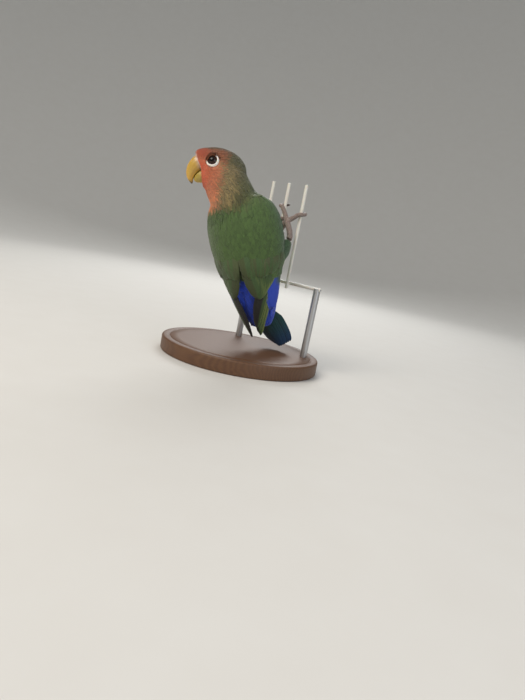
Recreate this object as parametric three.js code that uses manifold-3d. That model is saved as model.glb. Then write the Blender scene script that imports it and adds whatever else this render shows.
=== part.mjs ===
// A life-size peach-faced lovebird, still, clinging to three cut lengths of coated wire
// on a plain display stand.
// Millimetres, Z up. The origin is the centre of the stand's underside. The bird's belly faces the wires, +Y.
import * as THREE from "three";
import { mergeVertices } from "three/addons/utils/BufferGeometryUtils.js";
import Module from "manifold-3d";

const wasm = await Module();
wasm.setup();

const gap = 0.3; // between one node and its neighbour
const cutGap = 0.52; // growth of a cutter, so that facets of two forms keep the gap
const deg = Math.PI / 180;

// Stand and perch
const baseRadius = 57;
const baseHeight = 10;
const baseEdge = 1.2;
const rodRadius = 2.5;
const rodDepth = 5; // sunk in the base
const rodLip = 0.6; // above the crosswire's middle
const wireRadius = 1.2;
const wirePlaneY = 27;
const wireX = [10.5, -5, -19.3];
const wireBottom = 56;
const wireTop = 131;
const crossZ = 60;
const crossEnds = [-30.5, 38.5];
const rodX = [-27.5, 35.5];

// Bird: the body group stands at the tail's base, with local Z along the back and local Y to the belly
const bodyAt = [5.4, 2.4, 44.3];
const leanBack = 20.6 * deg;
const leanLeft = 9.2 * deg;
const turn = 17 * deg;
const tailBend = 18 * deg;
const tailSwing = 11 * deg;
const headAt = [-21.6, -32.7, 129.2];
const headTurn = 129 * deg;

// Rings of the trunk: height, half width, depth to the back, depth to the belly
const trunk = [
  [-19, 7, 4.8, 6],
  [-12, 11.2, 7.2, 9],
  [-2, 14.2, 10, 11.8],
  [10, 16.8, 13.4, 15.4],
  [24, 20, 16.6, 19.6],
  [38, 22.6, 18.6, 22.8],
  [52, 23, 19, 23.4],
  [62, 21.2, 18, 21.6],
  [70, 17.6, 15.4, 18],
  [75, 10.5, 9.4, 11],
];
// Rings of the folded wings' outer face: height, half width, depth to the back, depth to the belly
const wingForm = [
  [-46, 6, 6, 5.5],
  [-32, 10, 8.6, 7.4],
  [-20, 13.6, 11, 9.4],
  [-8, 17, 13.2, 12],
  [4, 19.8, 16, 15],
  [16, 22.4, 18.6, 18.4],
  [28, 25.2, 21.2, 22.4],
  [40, 27.4, 22.6, 25],
  [52, 27.8, 22.8, 25.5],
  [60, 26.8, 21.8, 24.5],
  [68, 24.2, 19.6, 22.6],
  [76, 18, 15.5, 18],
];
// Edges of a wing's covert core: height, inner angle and outer angle from the middle of the back
const wingEdges = [
  [-4, 40, 72],
  [4, 30, 84],
  [14, 16, 90],
  [26, 4.5, 97],
  [38, 3.2, 101],
  [50, 3.6, 101],
  [60, 7, 99],
  [67, 18, 92],
  [72, 34, 82],
  [74.5, 48, 70],
];
// Feathers of one wing in rows: each row runs from the innermost feather to the outermost, its
// roots and tips given as height, angle and lift on the wing's outer face
const wingRows = {
  primaries: {
    count: 7,
    roots: [[12, 44, -3.4], [8, 84, -6.4]],
    tips: [[-23, 14, -0.4], [-8, 44, -6.1]],
    leftTips: [[-27, 26, -0.4], [-12, 56, -6.1]],
    bow: 0,
    width: 9,
    pointed: true,
    tilt: -0.06,
    segments: 5,
  },
  secondaries: {
    count: 8,
    roots: [[30, 14, -3], [24, 84, -3]],
    tips: [[3, 27, 0.4], [6, 71, 0.4]],
    bow: 5,
    width: 9.5,
    pointed: false,
    tilt: -0.05,
    segments: 4,
  },
  coverts: {
    count: 8,
    roots: [[44, 12, -2.6], [40, 88, -2.6]],
    tips: [[24, 13, 0.2], [19, 85, 0.2]],
    bow: 0,
    width: 9,
    pointed: false,
    tilt: -0.05,
    segments: 3,
  },
};
const vaneThickness = 0.6;
// The tail's feathers lie in a shallow roof, the middle pair on top
const tailPairs = 6;
const tailLength = 40; // of the middle pair
const tailStep = [0.1, 1]; // each next feather is shorter by this, on the right and on the left
const tailRoot = 4;
const tailMiddle = 0.6;
const tailGather = 0.5;
const tailOpening = 2.4; // the fan is open at this part of its length, counted as one over it
const tailSpread = [0.9, 1.45]; // of the middle pair, and more for each next pair
const tailWidth = 8;
const tailDepth = -2.4;
const tailLevel = 0.9;
const tailRoof = 0.012;
const tailThickness = 0.55;
// Rings of the head: forward distance at the middle, top, bottom, half width, and how far
// the ring's brow and chin lie ahead of its middle
const headRings = [
  [-19.5, 0.5, -7, 4, 0, 0],
  [-17.5, 4.2, -11, 8, 0, 0],
  [-12, 8.8, -15.5, 11.6, 0, 0],
  [-5, 11, -18.6, 13.6, 0, 0],
  [1, 11.5, -19.4, 14, 0, 0],
  [5.5, 9.9, -17.6, 12.8, 4, 0.4],
  [8.3, 6, -15.7, 9.6, 6, -0.8],
  [9.6, 2.2, -13.4, 5.5, 7.2, -1.6],
];
const eyeRadius = 4.2;
const eyeAt = [9.5, 3, 0.9];
const lidRadius = 3.35;
const lidTube = 0.62;
const lidOut = 3.15; // from the eye's centre
const nostrilRadius = 0.75;
const nostrilAt = [2.5, 17.6, -0.2];

// Toes of a foot: which wire of the two, height above the ankle, turn round the wire, radius
const toes = {
  right: [
    [0, 5.6, 1, 1.5],
    [1, 9.8, -1, 1.5],
    [1, -10.6, 1, 1.4],
    [1, -5.8, -1, 1.4],
  ],
  left: [
    [0, 8.4, 1, 1.5],
    [1, 7.4, -1, 1.5],
    [1, -10.6, 1, 1.4],
    [1, -5.8, -1, 1.4],
  ],
};
const clawRings = [[62, 0.95], [90, 0.85], [118, 0.6], [142, 0.25]]; // angle round the wire, width
const clawRise = 0.012; // for each degree round the wire
const toeTaper = 0.0012; // for each degree round the wire
const clawSeatRadius = 1.35;

const materials = {
  olive: new THREE.MeshStandardMaterial({ color: 0x5f7433, roughness: 0.85, metalness: 0 }),
  green: new THREE.MeshStandardMaterial({ color: 0x4f7a35, roughness: 0.8, metalness: 0 }),
  wing: new THREE.MeshStandardMaterial({ color: 0x4a6b2f, roughness: 0.75, metalness: 0 }),
  peach: new THREE.MeshStandardMaterial({ color: 0xe5805a, roughness: 0.85, metalness: 0 }),
  tail: new THREE.MeshStandardMaterial({ color: 0x1f6b6a, roughness: 0.7, metalness: 0 }),
  horn: new THREE.MeshStandardMaterial({ color: 0xd9b36c, roughness: 0.45, metalness: 0 }),
  lowerHorn: new THREE.MeshStandardMaterial({ color: 0xc9a468, roughness: 0.5, metalness: 0 }),
  eye: new THREE.MeshStandardMaterial({ color: 0x120c09, roughness: 0.08, metalness: 0 }),
  foot: new THREE.MeshStandardMaterial({ color: 0x9b8f88, roughness: 0.7, metalness: 0 }),
  claw: new THREE.MeshStandardMaterial({ color: 0x3a322d, roughness: 0.4, metalness: 0 }),
  wire: new THREE.MeshStandardMaterial({ color: 0xe9e8e2, roughness: 0.45, metalness: 0 }),
  steel: new THREE.MeshStandardMaterial({ color: 0xb9bcc0, roughness: 0.3, metalness: 1 }),
  wood: new THREE.MeshStandardMaterial({ color: 0x6d4b31, roughness: 0.55, metalness: 0 }),
};

// A smooth curve through the rows of a table, read at one value of its first column
function read(table, at) {
  const last = table.length - 1;
  let i = 0;
  while (i < last - 1 && at > table[i + 1][0]) i += 1;
  const rows = [table[Math.max(i - 1, 0)], table[i], table[i + 1], table[Math.min(i + 2, last)]];
  const t = THREE.MathUtils.clamp((at - rows[1][0]) / (rows[2][0] - rows[1][0]), 0, 1);
  return rows[1].slice(1).map((start, k) => {
    const end = rows[2][k + 1];
    const span = rows[2][0] - rows[1][0];
    const slopeIn = ((end - rows[0][k + 1]) / (rows[2][0] - rows[0][0])) * span;
    const slopeOut = ((rows[3][k + 1] - start) / (rows[3][0] - rows[1][0])) * span;
    const t2 = t * t;
    const t3 = t2 * t;
    return (2 * t3 - 3 * t2 + 1) * start + (t3 - 2 * t2 + t) * slopeIn
      + (3 * t2 - 2 * t3) * end + (t3 - t2) * slopeOut;
  });
}

// A closed surface over rings of equal point counts, each end closed by a fan
function ringGeometry(rings) {
  const sides = rings[0].length;
  const points = rings.flat();
  const index = [];
  for (let i = 0; i + 1 < rings.length; i += 1) {
    for (let j = 0; j < sides; j += 1) {
      const a = i * sides + j;
      const b = i * sides + ((j + 1) % sides);
      index.push(a, b, b + sides, a, b + sides, a + sides);
    }
  }
  for (const end of [0, rings.length - 1]) {
    const middle = new THREE.Vector3();
    rings[end].forEach((p) => middle.add(p));
    points.push(middle.divideScalar(sides));
    for (let j = 0; j < sides; j += 1) {
      const a = end * sides + j;
      const b = end * sides + ((j + 1) % sides);
      if (end === 0) index.push(b, a, points.length - 1);
      else index.push(a, b, points.length - 1);
    }
  }
  return new THREE.BufferGeometry().setFromPoints(points).setIndex(index);
}

// The manifold solid of a closed geometry, turned face out
function solid(geometry) {
  const bare = geometry.clone();
  bare.deleteAttribute("normal");
  bare.deleteAttribute("uv");
  const merged = mergeVertices(bare, 1e-4);
  const vertProperties = new Float32Array(merged.attributes.position.array);
  const triVerts = new Uint32Array(merged.index.array);
  const made = new wasm.Manifold(new wasm.Mesh({ numProp: 3, vertProperties, triVerts }));
  if (made.volume() > 0) return made;
  return new wasm.Manifold(new wasm.Mesh({ numProp: 3, vertProperties, triVerts: triVerts.reverse() }));
}

function moved(shape, object) {
  object.updateMatrix();
  return shape.transform(object.matrix.elements);
}

// The largest closed surface of a solid as a named mesh
function node(name, shape, material) {
  const pieces = shape.decompose().sort((a, b) => b.volume() - a.volume());
  const mesh = pieces[0].getMesh();
  const geometry = new THREE.BufferGeometry();
  geometry.setAttribute("position", new THREE.BufferAttribute(mesh.vertProperties, 3));
  geometry.setIndex(new THREE.BufferAttribute(mesh.triVerts, 1));
  geometry.computeVertexNormals();
  const made = new THREE.Mesh(geometry, material);
  made.name = name;
  return made;
}

// A point on a form of the body: angle 0 is the middle of the back, positive to the bird's right
function formPoint(table, height, angle, lift) {
  const [width, back, belly] = read(table, height);
  const depth = Math.cos(angle) > 0 ? back : belly;
  return new THREE.Vector3(
    (width + lift) * Math.sin(angle),
    -(depth + lift) * Math.cos(angle),
    height,
  );
}

function formSolid(table, bottom, top, steps, sides, lift) {
  const rings = [];
  for (let i = 0; i <= steps; i += 1) {
    const height = bottom + ((top - bottom) * i) / steps;
    const ring = [];
    for (let j = 0; j < sides; j += 1) ring.push(formPoint(table, height, (2 * Math.PI * j) / sides, lift));
    rings.push(ring);
  }
  return solid(ringGeometry(rings));
}

// A tapering limb round a path of [x, y, z, radius across, radius along the reference side]
function limb(path, sides, side, lift = 0) {
  const points = path.map((p) => new THREE.Vector3(p[0], p[1], p[2]));
  const curve = new THREE.CatmullRomCurve3(points);
  const steps = (path.length - 1) * 2;
  const rings = [];
  for (let i = 0; i <= steps; i += 1) {
    const t = i / steps;
    const table = path.map((p, k) => [k, p[3], p[4] ?? p[3]]);
    const [across, along] = read(table, t * (path.length - 1));
    const centre = curve.getPoint(t);
    const tangent = curve.getTangent(t);
    if (i === 0) centre.addScaledVector(tangent, -lift);
    if (i === steps) centre.addScaledVector(tangent, lift);
    const u = new THREE.Vector3().crossVectors(side, tangent).normalize();
    const v = new THREE.Vector3().crossVectors(tangent, u).normalize();
    const ring = [];
    for (let j = 0; j < sides; j += 1) {
      const angle = (2 * Math.PI * j) / sides;
      const p = centre.clone().addScaledVector(u, (across + lift) * Math.cos(angle));
      ring.push(p.addScaledVector(v, (along + lift) * Math.sin(angle)));
    }
    rings.push(ring);
  }
  return solid(ringGeometry(rings));
}

// A thin feather vane from a grid function (t along, s across, lift) with the same triangles on both faces
function vane(at, thickness, along, across) {
  const upper = [];
  const lower = [];
  for (let i = 0; i <= along; i += 1) {
    for (let j = 0; j <= across; j += 1) {
      upper.push(at(i / along, (2 * j) / across - 1, thickness));
      lower.push(at(i / along, (2 * j) / across - 1, 0));
    }
  }
  const count = upper.length;
  const row = across + 1;
  const index = [];
  for (let i = 0; i < along; i += 1) {
    for (let j = 0; j < across; j += 1) {
      const a = i * row + j;
      const b = a + 1;
      const c = a + row;
      const d = c + 1;
      index.push(a, b, d, a, d, c);
      index.push(a + count, d + count, b + count, a + count, c + count, d + count);
    }
  }
  const rim = [];
  for (let j = 0; j < across; j += 1) rim.push(j);
  for (let i = 0; i < along; i += 1) rim.push(i * row + across);
  for (let j = across; j > 0; j -= 1) rim.push(along * row + j);
  for (let i = along; i > 0; i -= 1) rim.push(i * row);
  rim.forEach((a, k) => {
    const b = rim[(k + 1) % rim.length];
    index.push(a, b + count, b, a, a + count, b + count);
  });
  return solid(new THREE.BufferGeometry().setFromPoints([...upper, ...lower]).setIndex(index));
}

// Half width of a vane along its length, 1 at the widest: a narrow root and a rounded or pointed end
function vaneWidth(t, pointed) {
  const root = 0.6 + 0.4 * Math.sin(Math.min(t / 0.4, 1) * 90 * deg);
  const start = pointed ? 0.45 : 0.7;
  if (t < start) return root;
  const left = (t - start) / (1 - start);
  return root * Math.max(Math.sqrt(Math.max(1 - left ** (pointed ? 1.6 : 2.6), 0)), 0.14);
}

// One feather lying on the wing's outer face, its root and tip each a height, angle in degrees and lift
function wingFeather(side, root, tip, row) {
  const at = (t, s, thickness) => {
    const height = root[0] + (tip[0] - root[0]) * t;
    const angle = root[1] + (tip[1] - root[1]) * t;
    const lift = root[2] + (tip[2] - root[2]) * t;
    const [wide, back] = read(wingForm, height);
    const radius = (wide + back) / 2;
    const length = root[0] - tip[0];
    const sweep = ((tip[1] - root[1]) * deg * radius) / length;
    const offset = (s * row.width * vaneWidth(t, row.pointed)) / 2;
    const turned = Math.hypot(1, sweep);
    const p = formPoint(
      wingForm,
      height + (offset * sweep) / turned,
      (angle * deg) + offset / turned / radius,
      lift + thickness - row.tilt * offset,
    );
    p.x *= side;
    return p;
  };
  return vane(at, vaneThickness, row.segments, 2);
}

// The covert core of a wing: a shell over the trunk between two edge lines, thin at its rim
function wingCore(side, grow) {
  const steps = 13;
  const across = 7;
  const rings = [];
  const bottom = wingEdges[0][0];
  const top = wingEdges[wingEdges.length - 1][0] + grow;
  for (let i = 0; i <= steps; i += 1) {
    const height = bottom + ((top - bottom) * i) / steps;
    const edges = read(wingEdges, height);
    const inner = edges[0] - 2.6 * grow;
    const outer = edges[1] + 2.6 * grow;
    const ring = [];
    for (let j = 0; j <= across; j += 1) {
      const u = j / across;
      const thin = Math.abs(2 * u - 1) ** 5;
      ring.push(formPoint(wingForm, height, (inner + (outer - inner) * u) * deg, grow - 1.2 - 1.6 * thin));
    }
    for (let j = across; j >= 0; j -= 1) {
      const u = j / across;
      ring.push(formPoint(trunk, height, (inner + (outer - inner) * u) * deg, -1.5));
    }
    ring.forEach((p) => { p.x *= side; });
    rings.push(ring);
  }
  return solid(ringGeometry(rings));
}

// One row of a wing's feathers: from the innermost to the outermost, roots and tips are blended
// between two given places, each height, angle and lift
function wingRow(row, side) {
  const blend = (ends, u) => ends[0].map((start, i) => start + (ends[1][i] - start) * u);
  let shape = null;
  for (let k = 0; k < row.count; k += 1) {
    const u = k / (row.count - 1);
    const root = blend(row.roots, u);
    const tip = blend(side < 0 && row.leftTips ? row.leftTips : row.tips, u);
    tip[0] += row.bow * u * (u - 1);
    const feather = wingFeather(side, root, tip, row);
    shape = shape ? shape.add(feather) : feather;
  }
  return shape;
}

function wing(name, side, trunkCutter) {
  let shape = wingCore(side, 0);
  for (const row of Object.values(wingRows)) shape = shape.add(wingRow(row, side));
  return node(name, shape.subtract(trunkCutter), materials.wing);
}

// The tail feathers, rooted in the covert form under the rump
function tail(trunkSolid) {
  const group = new THREE.Group();
  group.rotation.set(tailBend, -tailSwing, 0);
  group.updateMatrix();
  const coverts = trunkSolid.trimByPlane([0, 0, -1], gap / 2);
  let shape = coverts.transform(group.matrix.clone().invert().elements);
  for (let k = 0; k < tailPairs; k += 1) {
    for (const side of [1, -1]) {
      const onTop = k === 0 && side > 0;
      const level = onTop ? 0 : tailLevel * (side < 0 && k === 0 ? 1 : k + 1);
      const gather = side * tailGather;
      const fan = side * (tailSpread[0] + tailSpread[1] * k);
      const length = tailLength - tailStep[side > 0 ? 0 : 1] * k;
      const at = (t, s, thickness) => {
        const reach = -tailRoot - (length - tailRoot) * t;
        const spread = gather + (fan - gather) * Math.min(t * tailOpening, 1);
        const x = tailMiddle + spread + (s * tailWidth * vaneWidth(t, false)) / 2;
        const roof = tailRoof * (x - tailMiddle) ** 2;
        return new THREE.Vector3(x, tailDepth + level - thickness + roof, reach);
      };
      shape = shape.add(vane(at, tailThickness, 4, 2));
    }
  }
  group.add(node("tail", shape, materials.tail));
  return group;
}

function headForm(lift) {
  const rings = [];
  const sides = 24;
  const stepsPerRow = 2;
  const last = (headRings.length - 1) * stepsPerRow;
  for (let i = 0; i <= last; i += 1) {
    const row = Math.min(Math.floor(i / stepsPerRow), headRings.length - 2);
    const share = i / stepsPerRow - row;
    const forward = headRings[row][0] * (1 - share) + headRings[row + 1][0] * share;
    const [top, bottom, width, brow, chin] = read(headRings, forward);
    const middle = (top + bottom) / 2;
    const half = (top - bottom) / 2;
    const endLift = i === 0 ? -lift : i === last ? lift : 0;
    const ring = [];
    for (let j = 0; j < sides; j += 1) {
      const angle = (2 * Math.PI * j) / sides;
      const rise = Math.sin(angle);
      ring.push(new THREE.Vector3(
        (width + lift) * Math.cos(angle),
        forward + endLift + (rise > 0 ? brow : chin) * rise * rise,
        middle + (half + lift) * rise,
      ));
    }
    rings.push(ring);
  }
  return solid(ringGeometry(rings));
}

// The hooked upper bill, grown by a lift for the cuts round it
function upperBill(lift) {
  const path = [
    [0, 10.4, 2, 4.6, 3.4],
    [0, 13.3, -1, 5, 4.5],
    [0, 15.9, -5.3, 4.5, 3.8],
    [0, 16.9, -8.8, 3.4, 2.8],
    [0, 16.8, -11.5, 2.2, 1.7],
    [0, 16, -13.5, 1.2, 0.95],
    [0, 15.1, -14.9, 0.45, 0.4],
  ];
  return limb(path, 14, new THREE.Vector3(1, 0, 0), lift);
}

function lowerBill(lift) {
  const path = [
    [0, 6.4, -8.2, 4.2, 4.2],
    [0, 9.5, -9.1, 4.3, 4],
    [0, 11.8, -10.5, 3.6, 3],
    [0, 13.4, -11.7, 2.3, 1.7],
    [0, 14.2, -12.2, 1.2, 0.8],
  ];
  return limb(path, 12, new THREE.Vector3(1, 0, 0), lift);
}

function head() {
  const group = new THREE.Group();
  group.position.set(...headAt);
  group.rotation.z = headTurn;
  let shape = headForm(0);
  const place = new THREE.Object3D();
  const eyeBall = new THREE.SphereGeometry(eyeRadius, 16, 10);
  const socket = solid(new THREE.SphereGeometry(eyeRadius + cutGap, 16, 10));
  const lid = solid(new THREE.TorusGeometry(lidRadius, lidTube, 5, 16));
  for (const side of [1, -1]) {
    place.position.set(side * (eyeAt[0] + lidOut), eyeAt[1] + 0.2, eyeAt[2] + 0.2);
    place.rotation.y = 90 * deg;
    shape = shape.add(moved(lid, place));
  }
  place.rotation.y = 0;
  for (const side of [1, -1]) {
    place.position.set(side * eyeAt[0], eyeAt[1], eyeAt[2]);
    shape = shape.subtract(moved(socket, place));
    const eye = node(side > 0 ? "eye_right" : "eye_left", solid(eyeBall), materials.eye);
    eye.position.copy(place.position);
    group.add(eye);
  }
  shape = shape.subtract(upperBill(cutGap)).subtract(lowerBill(cutGap));
  group.add(node("head", shape, materials.peach));
  let upper = upperBill(0);
  const nostril = solid(new THREE.SphereGeometry(nostrilRadius, 8, 6));
  for (const side of [1, -1]) {
    place.position.set(side * nostrilAt[0], nostrilAt[1], nostrilAt[2]);
    upper = upper.subtract(moved(nostril, place));
  }
  group.add(node("bill_upper", upper, materials.horn));
  group.add(node("bill_lower", lowerBill(0).subtract(upperBill(cutGap)), materials.lowerHorn));
  return group;
}

// The neck joins the trunk to the head in the root frame
function neck(cutters) {
  const path = [
    [-6.9, -21.2, 103, 20.4, 16.6],
    [-10.5, -25.7, 110.5, 19.3, 16],
    [-13.9, -29, 117, 16.6, 15.4],
    [-17.3, -31.2, 123, 13.8, 14.4],
    [-20, -33, 128, 12, 12],
  ];
  let shape = limb(path, 24, new THREE.Vector3(0.777, 0.629, 0));
  cutters.forEach((cutter) => { shape = shape.subtract(cutter); });
  return node("neck", shape, materials.olive);
}

// One toe round a wire: from the foot to the wire, then half way round it
function toe(ankle, wire, height, turnSign, radius) {
  const reach = wireRadius + cutGap + radius;
  const up = height > ankle[2] ? 1 : -1;
  const knuckle = [(ankle[0] + wire) / 2, wirePlaneY - reach - 0.6, (ankle[2] + height) / 2];
  const path = [
    [...ankle, radius * 1.25],
    [...knuckle, radius * 1.1],
  ];
  for (const angle of [-90, -40, 10, 55]) {
    const turned = angle + 90;
    path.push([
      wire + turnSign * reach * Math.cos(angle * deg),
      wirePlaneY + reach * Math.sin(angle * deg),
      height + up * turned * clawRise,
      radius * (1 - turned * toeTaper),
    ]);
  }
  return limb(path, 7, new THREE.Vector3(0, 0, 1));
}

function claw(wire, height, turnSign, up, radius) {
  const reach = wireRadius + cutGap + radius + 0.1;
  const path = clawRings.map(([angle, width]) => [
    wire + turnSign * reach * Math.cos(angle * deg),
    wirePlaneY + reach * Math.sin(angle * deg),
    height + up * (angle + 90) * clawRise,
    width,
  ]);
  return limb(path, 6, new THREE.Vector3(0, 0, 1));
}

// A leg in the root frame: feathered thigh, then tarsus and four toes in opposed pairs round two wires
function leg(name, points, wires, cutters) {
  const group = new THREE.Group();
  const sideways = new THREE.Vector3(1, 0, 0);
  let thigh = limb(points.thigh, 18, sideways);
  cutters.forEach((cutter) => { thigh = thigh.subtract(cutter); });
  let foot = limb(points.tarsus, 10, sideways);
  const ankle = points.tarsus[points.tarsus.length - 1].slice(0, 3);
  const place = new THREE.Object3D();
  const clawSeat = solid(new THREE.SphereGeometry(clawSeatRadius, 10, 6));
  const seats = [];
  toes[name].forEach(([inner, rise, turnSign, radius], k) => {
    const wire = wires[inner];
    const height = ankle[2] + rise;
    const up = Math.sign(rise);
    const reach = wireRadius + cutGap + radius;
    const angle = clawRings[0][0] * deg;
    foot = foot.add(toe(ankle, wire, height, turnSign, radius));
    const nail = claw(wire, height, turnSign, up, radius);
    group.add(node(`claw_${name}_${k + 1}`, nail, materials.claw));
    place.position.set(
      wire + turnSign * reach * Math.cos(angle),
      wirePlaneY + reach * Math.sin(angle),
      height + up * (angle / deg + 90) * clawRise,
    );
    seats.push(moved(clawSeat, place));
  });
  foot = foot.subtract(limb(points.thigh, 18, sideways, cutGap));
  seats.forEach((seat) => { foot = foot.subtract(seat); });
  group.add(node(`foot_${name}`, foot, materials.foot));
  group.add(node(`thigh_${name}`, thigh, materials.green));
  return group;
}

function rod(radius, bottom, top, segments) {
  const profile = [
    new THREE.Vector2(0, bottom),
    new THREE.Vector2(radius, bottom),
    new THREE.Vector2(radius, top),
    new THREE.Vector2(0, top),
  ];
  const shape = new THREE.LatheGeometry(profile, segments);
  shape.rotateX(90 * deg);
  return solid(shape);
}

function stand() {
  const group = new THREE.Group();
  const profile = [
    [0, 0],
    [baseRadius - baseEdge, 0],
    [baseRadius, baseEdge],
    [baseRadius, baseHeight - baseEdge],
    [baseRadius - baseEdge, baseHeight],
    [0, baseHeight],
  ].map(([x, y]) => new THREE.Vector2(x, y));
  const turned = new THREE.LatheGeometry(profile, 48);
  turned.rotateX(90 * deg);
  let base = solid(turned);
  const crossLength = crossEnds[1] - crossEnds[0];
  const crossY = wirePlaneY + 2 * wireRadius + gap;
  const rodBottom = baseHeight - rodDepth;
  const place = new THREE.Object3D();
  const along = new THREE.Object3D();
  along.rotation.y = 90 * deg;
  rodX.forEach((x, k) => {
    place.position.set(x, crossY, 0);
    base = base.subtract(moved(rod(rodRadius + gap, rodBottom, baseHeight + 1, 20), place));
    // The notch for the crosswire, in the rod's own frame
    along.position.set(crossEnds[0] - x - 5, 0, crossZ);
    const notch = moved(rod(wireRadius + gap, 0, crossLength + 10, 20), along);
    const post = rod(rodRadius, rodBottom + gap, crossZ + rodLip, 20).subtract(notch);
    const mesh = node(`stand_rod_${k ? "right" : "left"}`, post, materials.steel);
    mesh.position.set(x, crossY, 0);
    group.add(mesh);
  });
  group.add(node("stand_base", base, materials.wood));
  const cross = node("perch_crosswire", rod(wireRadius, 0, crossLength, 16), materials.wire);
  cross.position.set(crossEnds[0], crossY, crossZ);
  cross.rotation.y = 90 * deg;
  group.add(cross);
  wireX.forEach((x, k) => {
    const wire = node(`perch_wire_${k + 1}`, rod(wireRadius, wireBottom, wireTop, 16), materials.wire);
    wire.position.set(x, wirePlaneY, 0);
    group.add(wire);
  });
  return group;
}

const lovebird = new THREE.Group();
lovebird.name = "peach_faced_lovebird";

const bird = new THREE.Group();
bird.position.set(...bodyAt);
bird.rotation.set(leanBack, -leanLeft, turn, "YXZ");

const trunkSolid = formSolid(trunk, -19, 75, 22, 28, 0);
const trunkCutter = formSolid(trunk, -19, 75.3, 22, 28, cutGap);
bird.add(node("torso", trunkSolid.trimByPlane([0, 0, 1], gap / 2), materials.green));
bird.add(wing("wing_right", 1, trunkCutter));
bird.add(wing("wing_left", -1, trunkCutter));
bird.add(tail(trunkSolid));
lovebird.add(bird);

const headGroup = head();
lovebird.add(headGroup);
const trunkInRoot = moved(trunkCutter, bird);
const wingsInRoot = moved(formSolid(wingForm, 30, 62, 10, 28, cutGap), bird);
const wingCutters = [1, -1].map((side) => moved(wingCore(side, cutGap), bird));
lovebird.add(neck([trunkInRoot, wingsInRoot, ...wingCutters, moved(headForm(2.2 * gap), headGroup)]));

lovebird.add(leg("right", {
  thigh: [
    [11, -7, 72, 7, 7],
    [12, 2, 76, 8, 8],
    [12.6, 10.6, 82, 6, 6],
    [12, 15.8, 90, 3.4, 3.4],
  ],
  tarsus: [
    [13, 13, 86, 2.4, 2.4],
    [12.4, 16, 93, 2, 2],
    [7, 19.5, 100, 2, 2],
    [3.5, 21, 103.6, 1.9, 1.9],
  ],
}, [wireX[0], wireX[1]], [trunkInRoot, wingCutters[0]]));
lovebird.add(leg("left", {
  thigh: [
    [-8, -8, 66, 7, 7],
    [-11, 1, 70, 8, 8],
    [-12.5, 10, 76, 6, 6],
    [-12.8, 15.5, 84, 3.4, 3.4],
  ],
  tarsus: [
    [-12.8, 13, 80, 2.4, 2.4],
    [-12.8, 16, 87, 2, 2],
    [-12.4, 19.5, 93, 2, 2],
    [-12.2, 21, 96, 1.9, 1.9],
  ],
}, [wireX[1], wireX[2]], [trunkInRoot, wingCutters[1]]));
lovebird.add(stand());

export default lovebird;
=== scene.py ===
import itertools
import math

import bmesh
import bpy
import numpy as np
from mathutils import Matrix, Vector
from mathutils.bvhtree import BVHTree


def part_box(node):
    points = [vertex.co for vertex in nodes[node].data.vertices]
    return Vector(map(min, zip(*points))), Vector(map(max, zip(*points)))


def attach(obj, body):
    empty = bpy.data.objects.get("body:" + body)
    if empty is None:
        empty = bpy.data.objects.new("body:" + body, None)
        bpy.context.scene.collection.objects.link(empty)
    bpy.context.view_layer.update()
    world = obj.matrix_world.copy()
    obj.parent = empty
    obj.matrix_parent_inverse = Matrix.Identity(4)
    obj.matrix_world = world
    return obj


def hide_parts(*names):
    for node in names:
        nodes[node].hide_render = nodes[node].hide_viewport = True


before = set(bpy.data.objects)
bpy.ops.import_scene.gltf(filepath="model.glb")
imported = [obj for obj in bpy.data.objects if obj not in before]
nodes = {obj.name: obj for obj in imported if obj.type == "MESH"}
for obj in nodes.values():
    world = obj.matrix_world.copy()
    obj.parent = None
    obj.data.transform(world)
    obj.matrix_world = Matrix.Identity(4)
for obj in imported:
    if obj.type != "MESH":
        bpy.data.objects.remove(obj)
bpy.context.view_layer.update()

rng = np.random.default_rng(7)
print("frame loaded:", len(nodes), "nodes")


# Colours: sRGB hex in, linear out
def linear(hexText, alpha=1.0):
    parts = [int(hexText[i:i + 2], 16) / 255 for i in (0, 2, 4)]
    return tuple(c / 12.92 if c <= 0.04045 else ((c + 0.055) / 1.055) ** 2.4 for c in parts) + (alpha,)


# Adds a shader node. An input is a value or another node's output, and what comes back is an output.
def addNode(tree, kind, inputs, output=0, **settings):
    node = tree.nodes.new("ShaderNode" + kind)
    for key, value in settings.items():
        setattr(node, key, value)
    for key, value in inputs.items():
        if isinstance(value, bpy.types.NodeSocket):
            tree.links.new(value, node.inputs[key])
        else:
            node.inputs[key].default_value = value
    return node.outputs[output]


# A material, with the outputs of the mesh attributes that it reads
def newMaterial(name, attributes=(), **surface):
    material = bpy.data.materials.new(name)
    material.use_nodes = True
    tree = material.node_tree
    shader = tree.nodes["Principled BSDF"]
    for key, value in surface.items():
        shader.inputs[key.replace("_", " ")].default_value = value
    read = {key: addNode(tree, "Attribute", {}, "Fac", attribute_name=key) for key in attributes}
    return material, tree, read


# Colours laid over one another, each with the share of the surface that it covers
def layColours(tree, base, layers):
    colour = linear(base)
    for share, over in layers:
        colour = addNode(tree, "Mix", {0: share, 6: colour, 7: linear(over)}, 2, data_type="RGBA")
    return colour


# Gives the shader its colour, scaled by a tone if there is one, and a relief in metres
def finishSurface(tree, colour, height, strength, relief, tone=None):
    shader = tree.nodes["Principled BSDF"]
    if tone:
        colour = addNode(tree, "VectorMath", {0: colour, "Scale": tone}, operation="SCALE")
    bump = addNode(tree, "Bump", {"Height": height, "Strength": strength, "Distance": relief})
    tree.links.new(colour, shader.inputs["Base Color"])
    tree.links.new(bump, shader.inputs["Normal"])


# Camera: place and directions worked out from the photo's two sets of wires, millimetres
camera = {
    "place": (255.2, -323.0, 84.8),
    "rightward": (0.7723, 0.6057, 0.1914),
    "downward": (0.2608, -0.0277, -0.965),
    "forward": (-0.5792, 0.7952, -0.1794),
    "focalPixels": 575.0,
    "imageSize": (525, 700),
    "sensor": 36.0,
}


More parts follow.
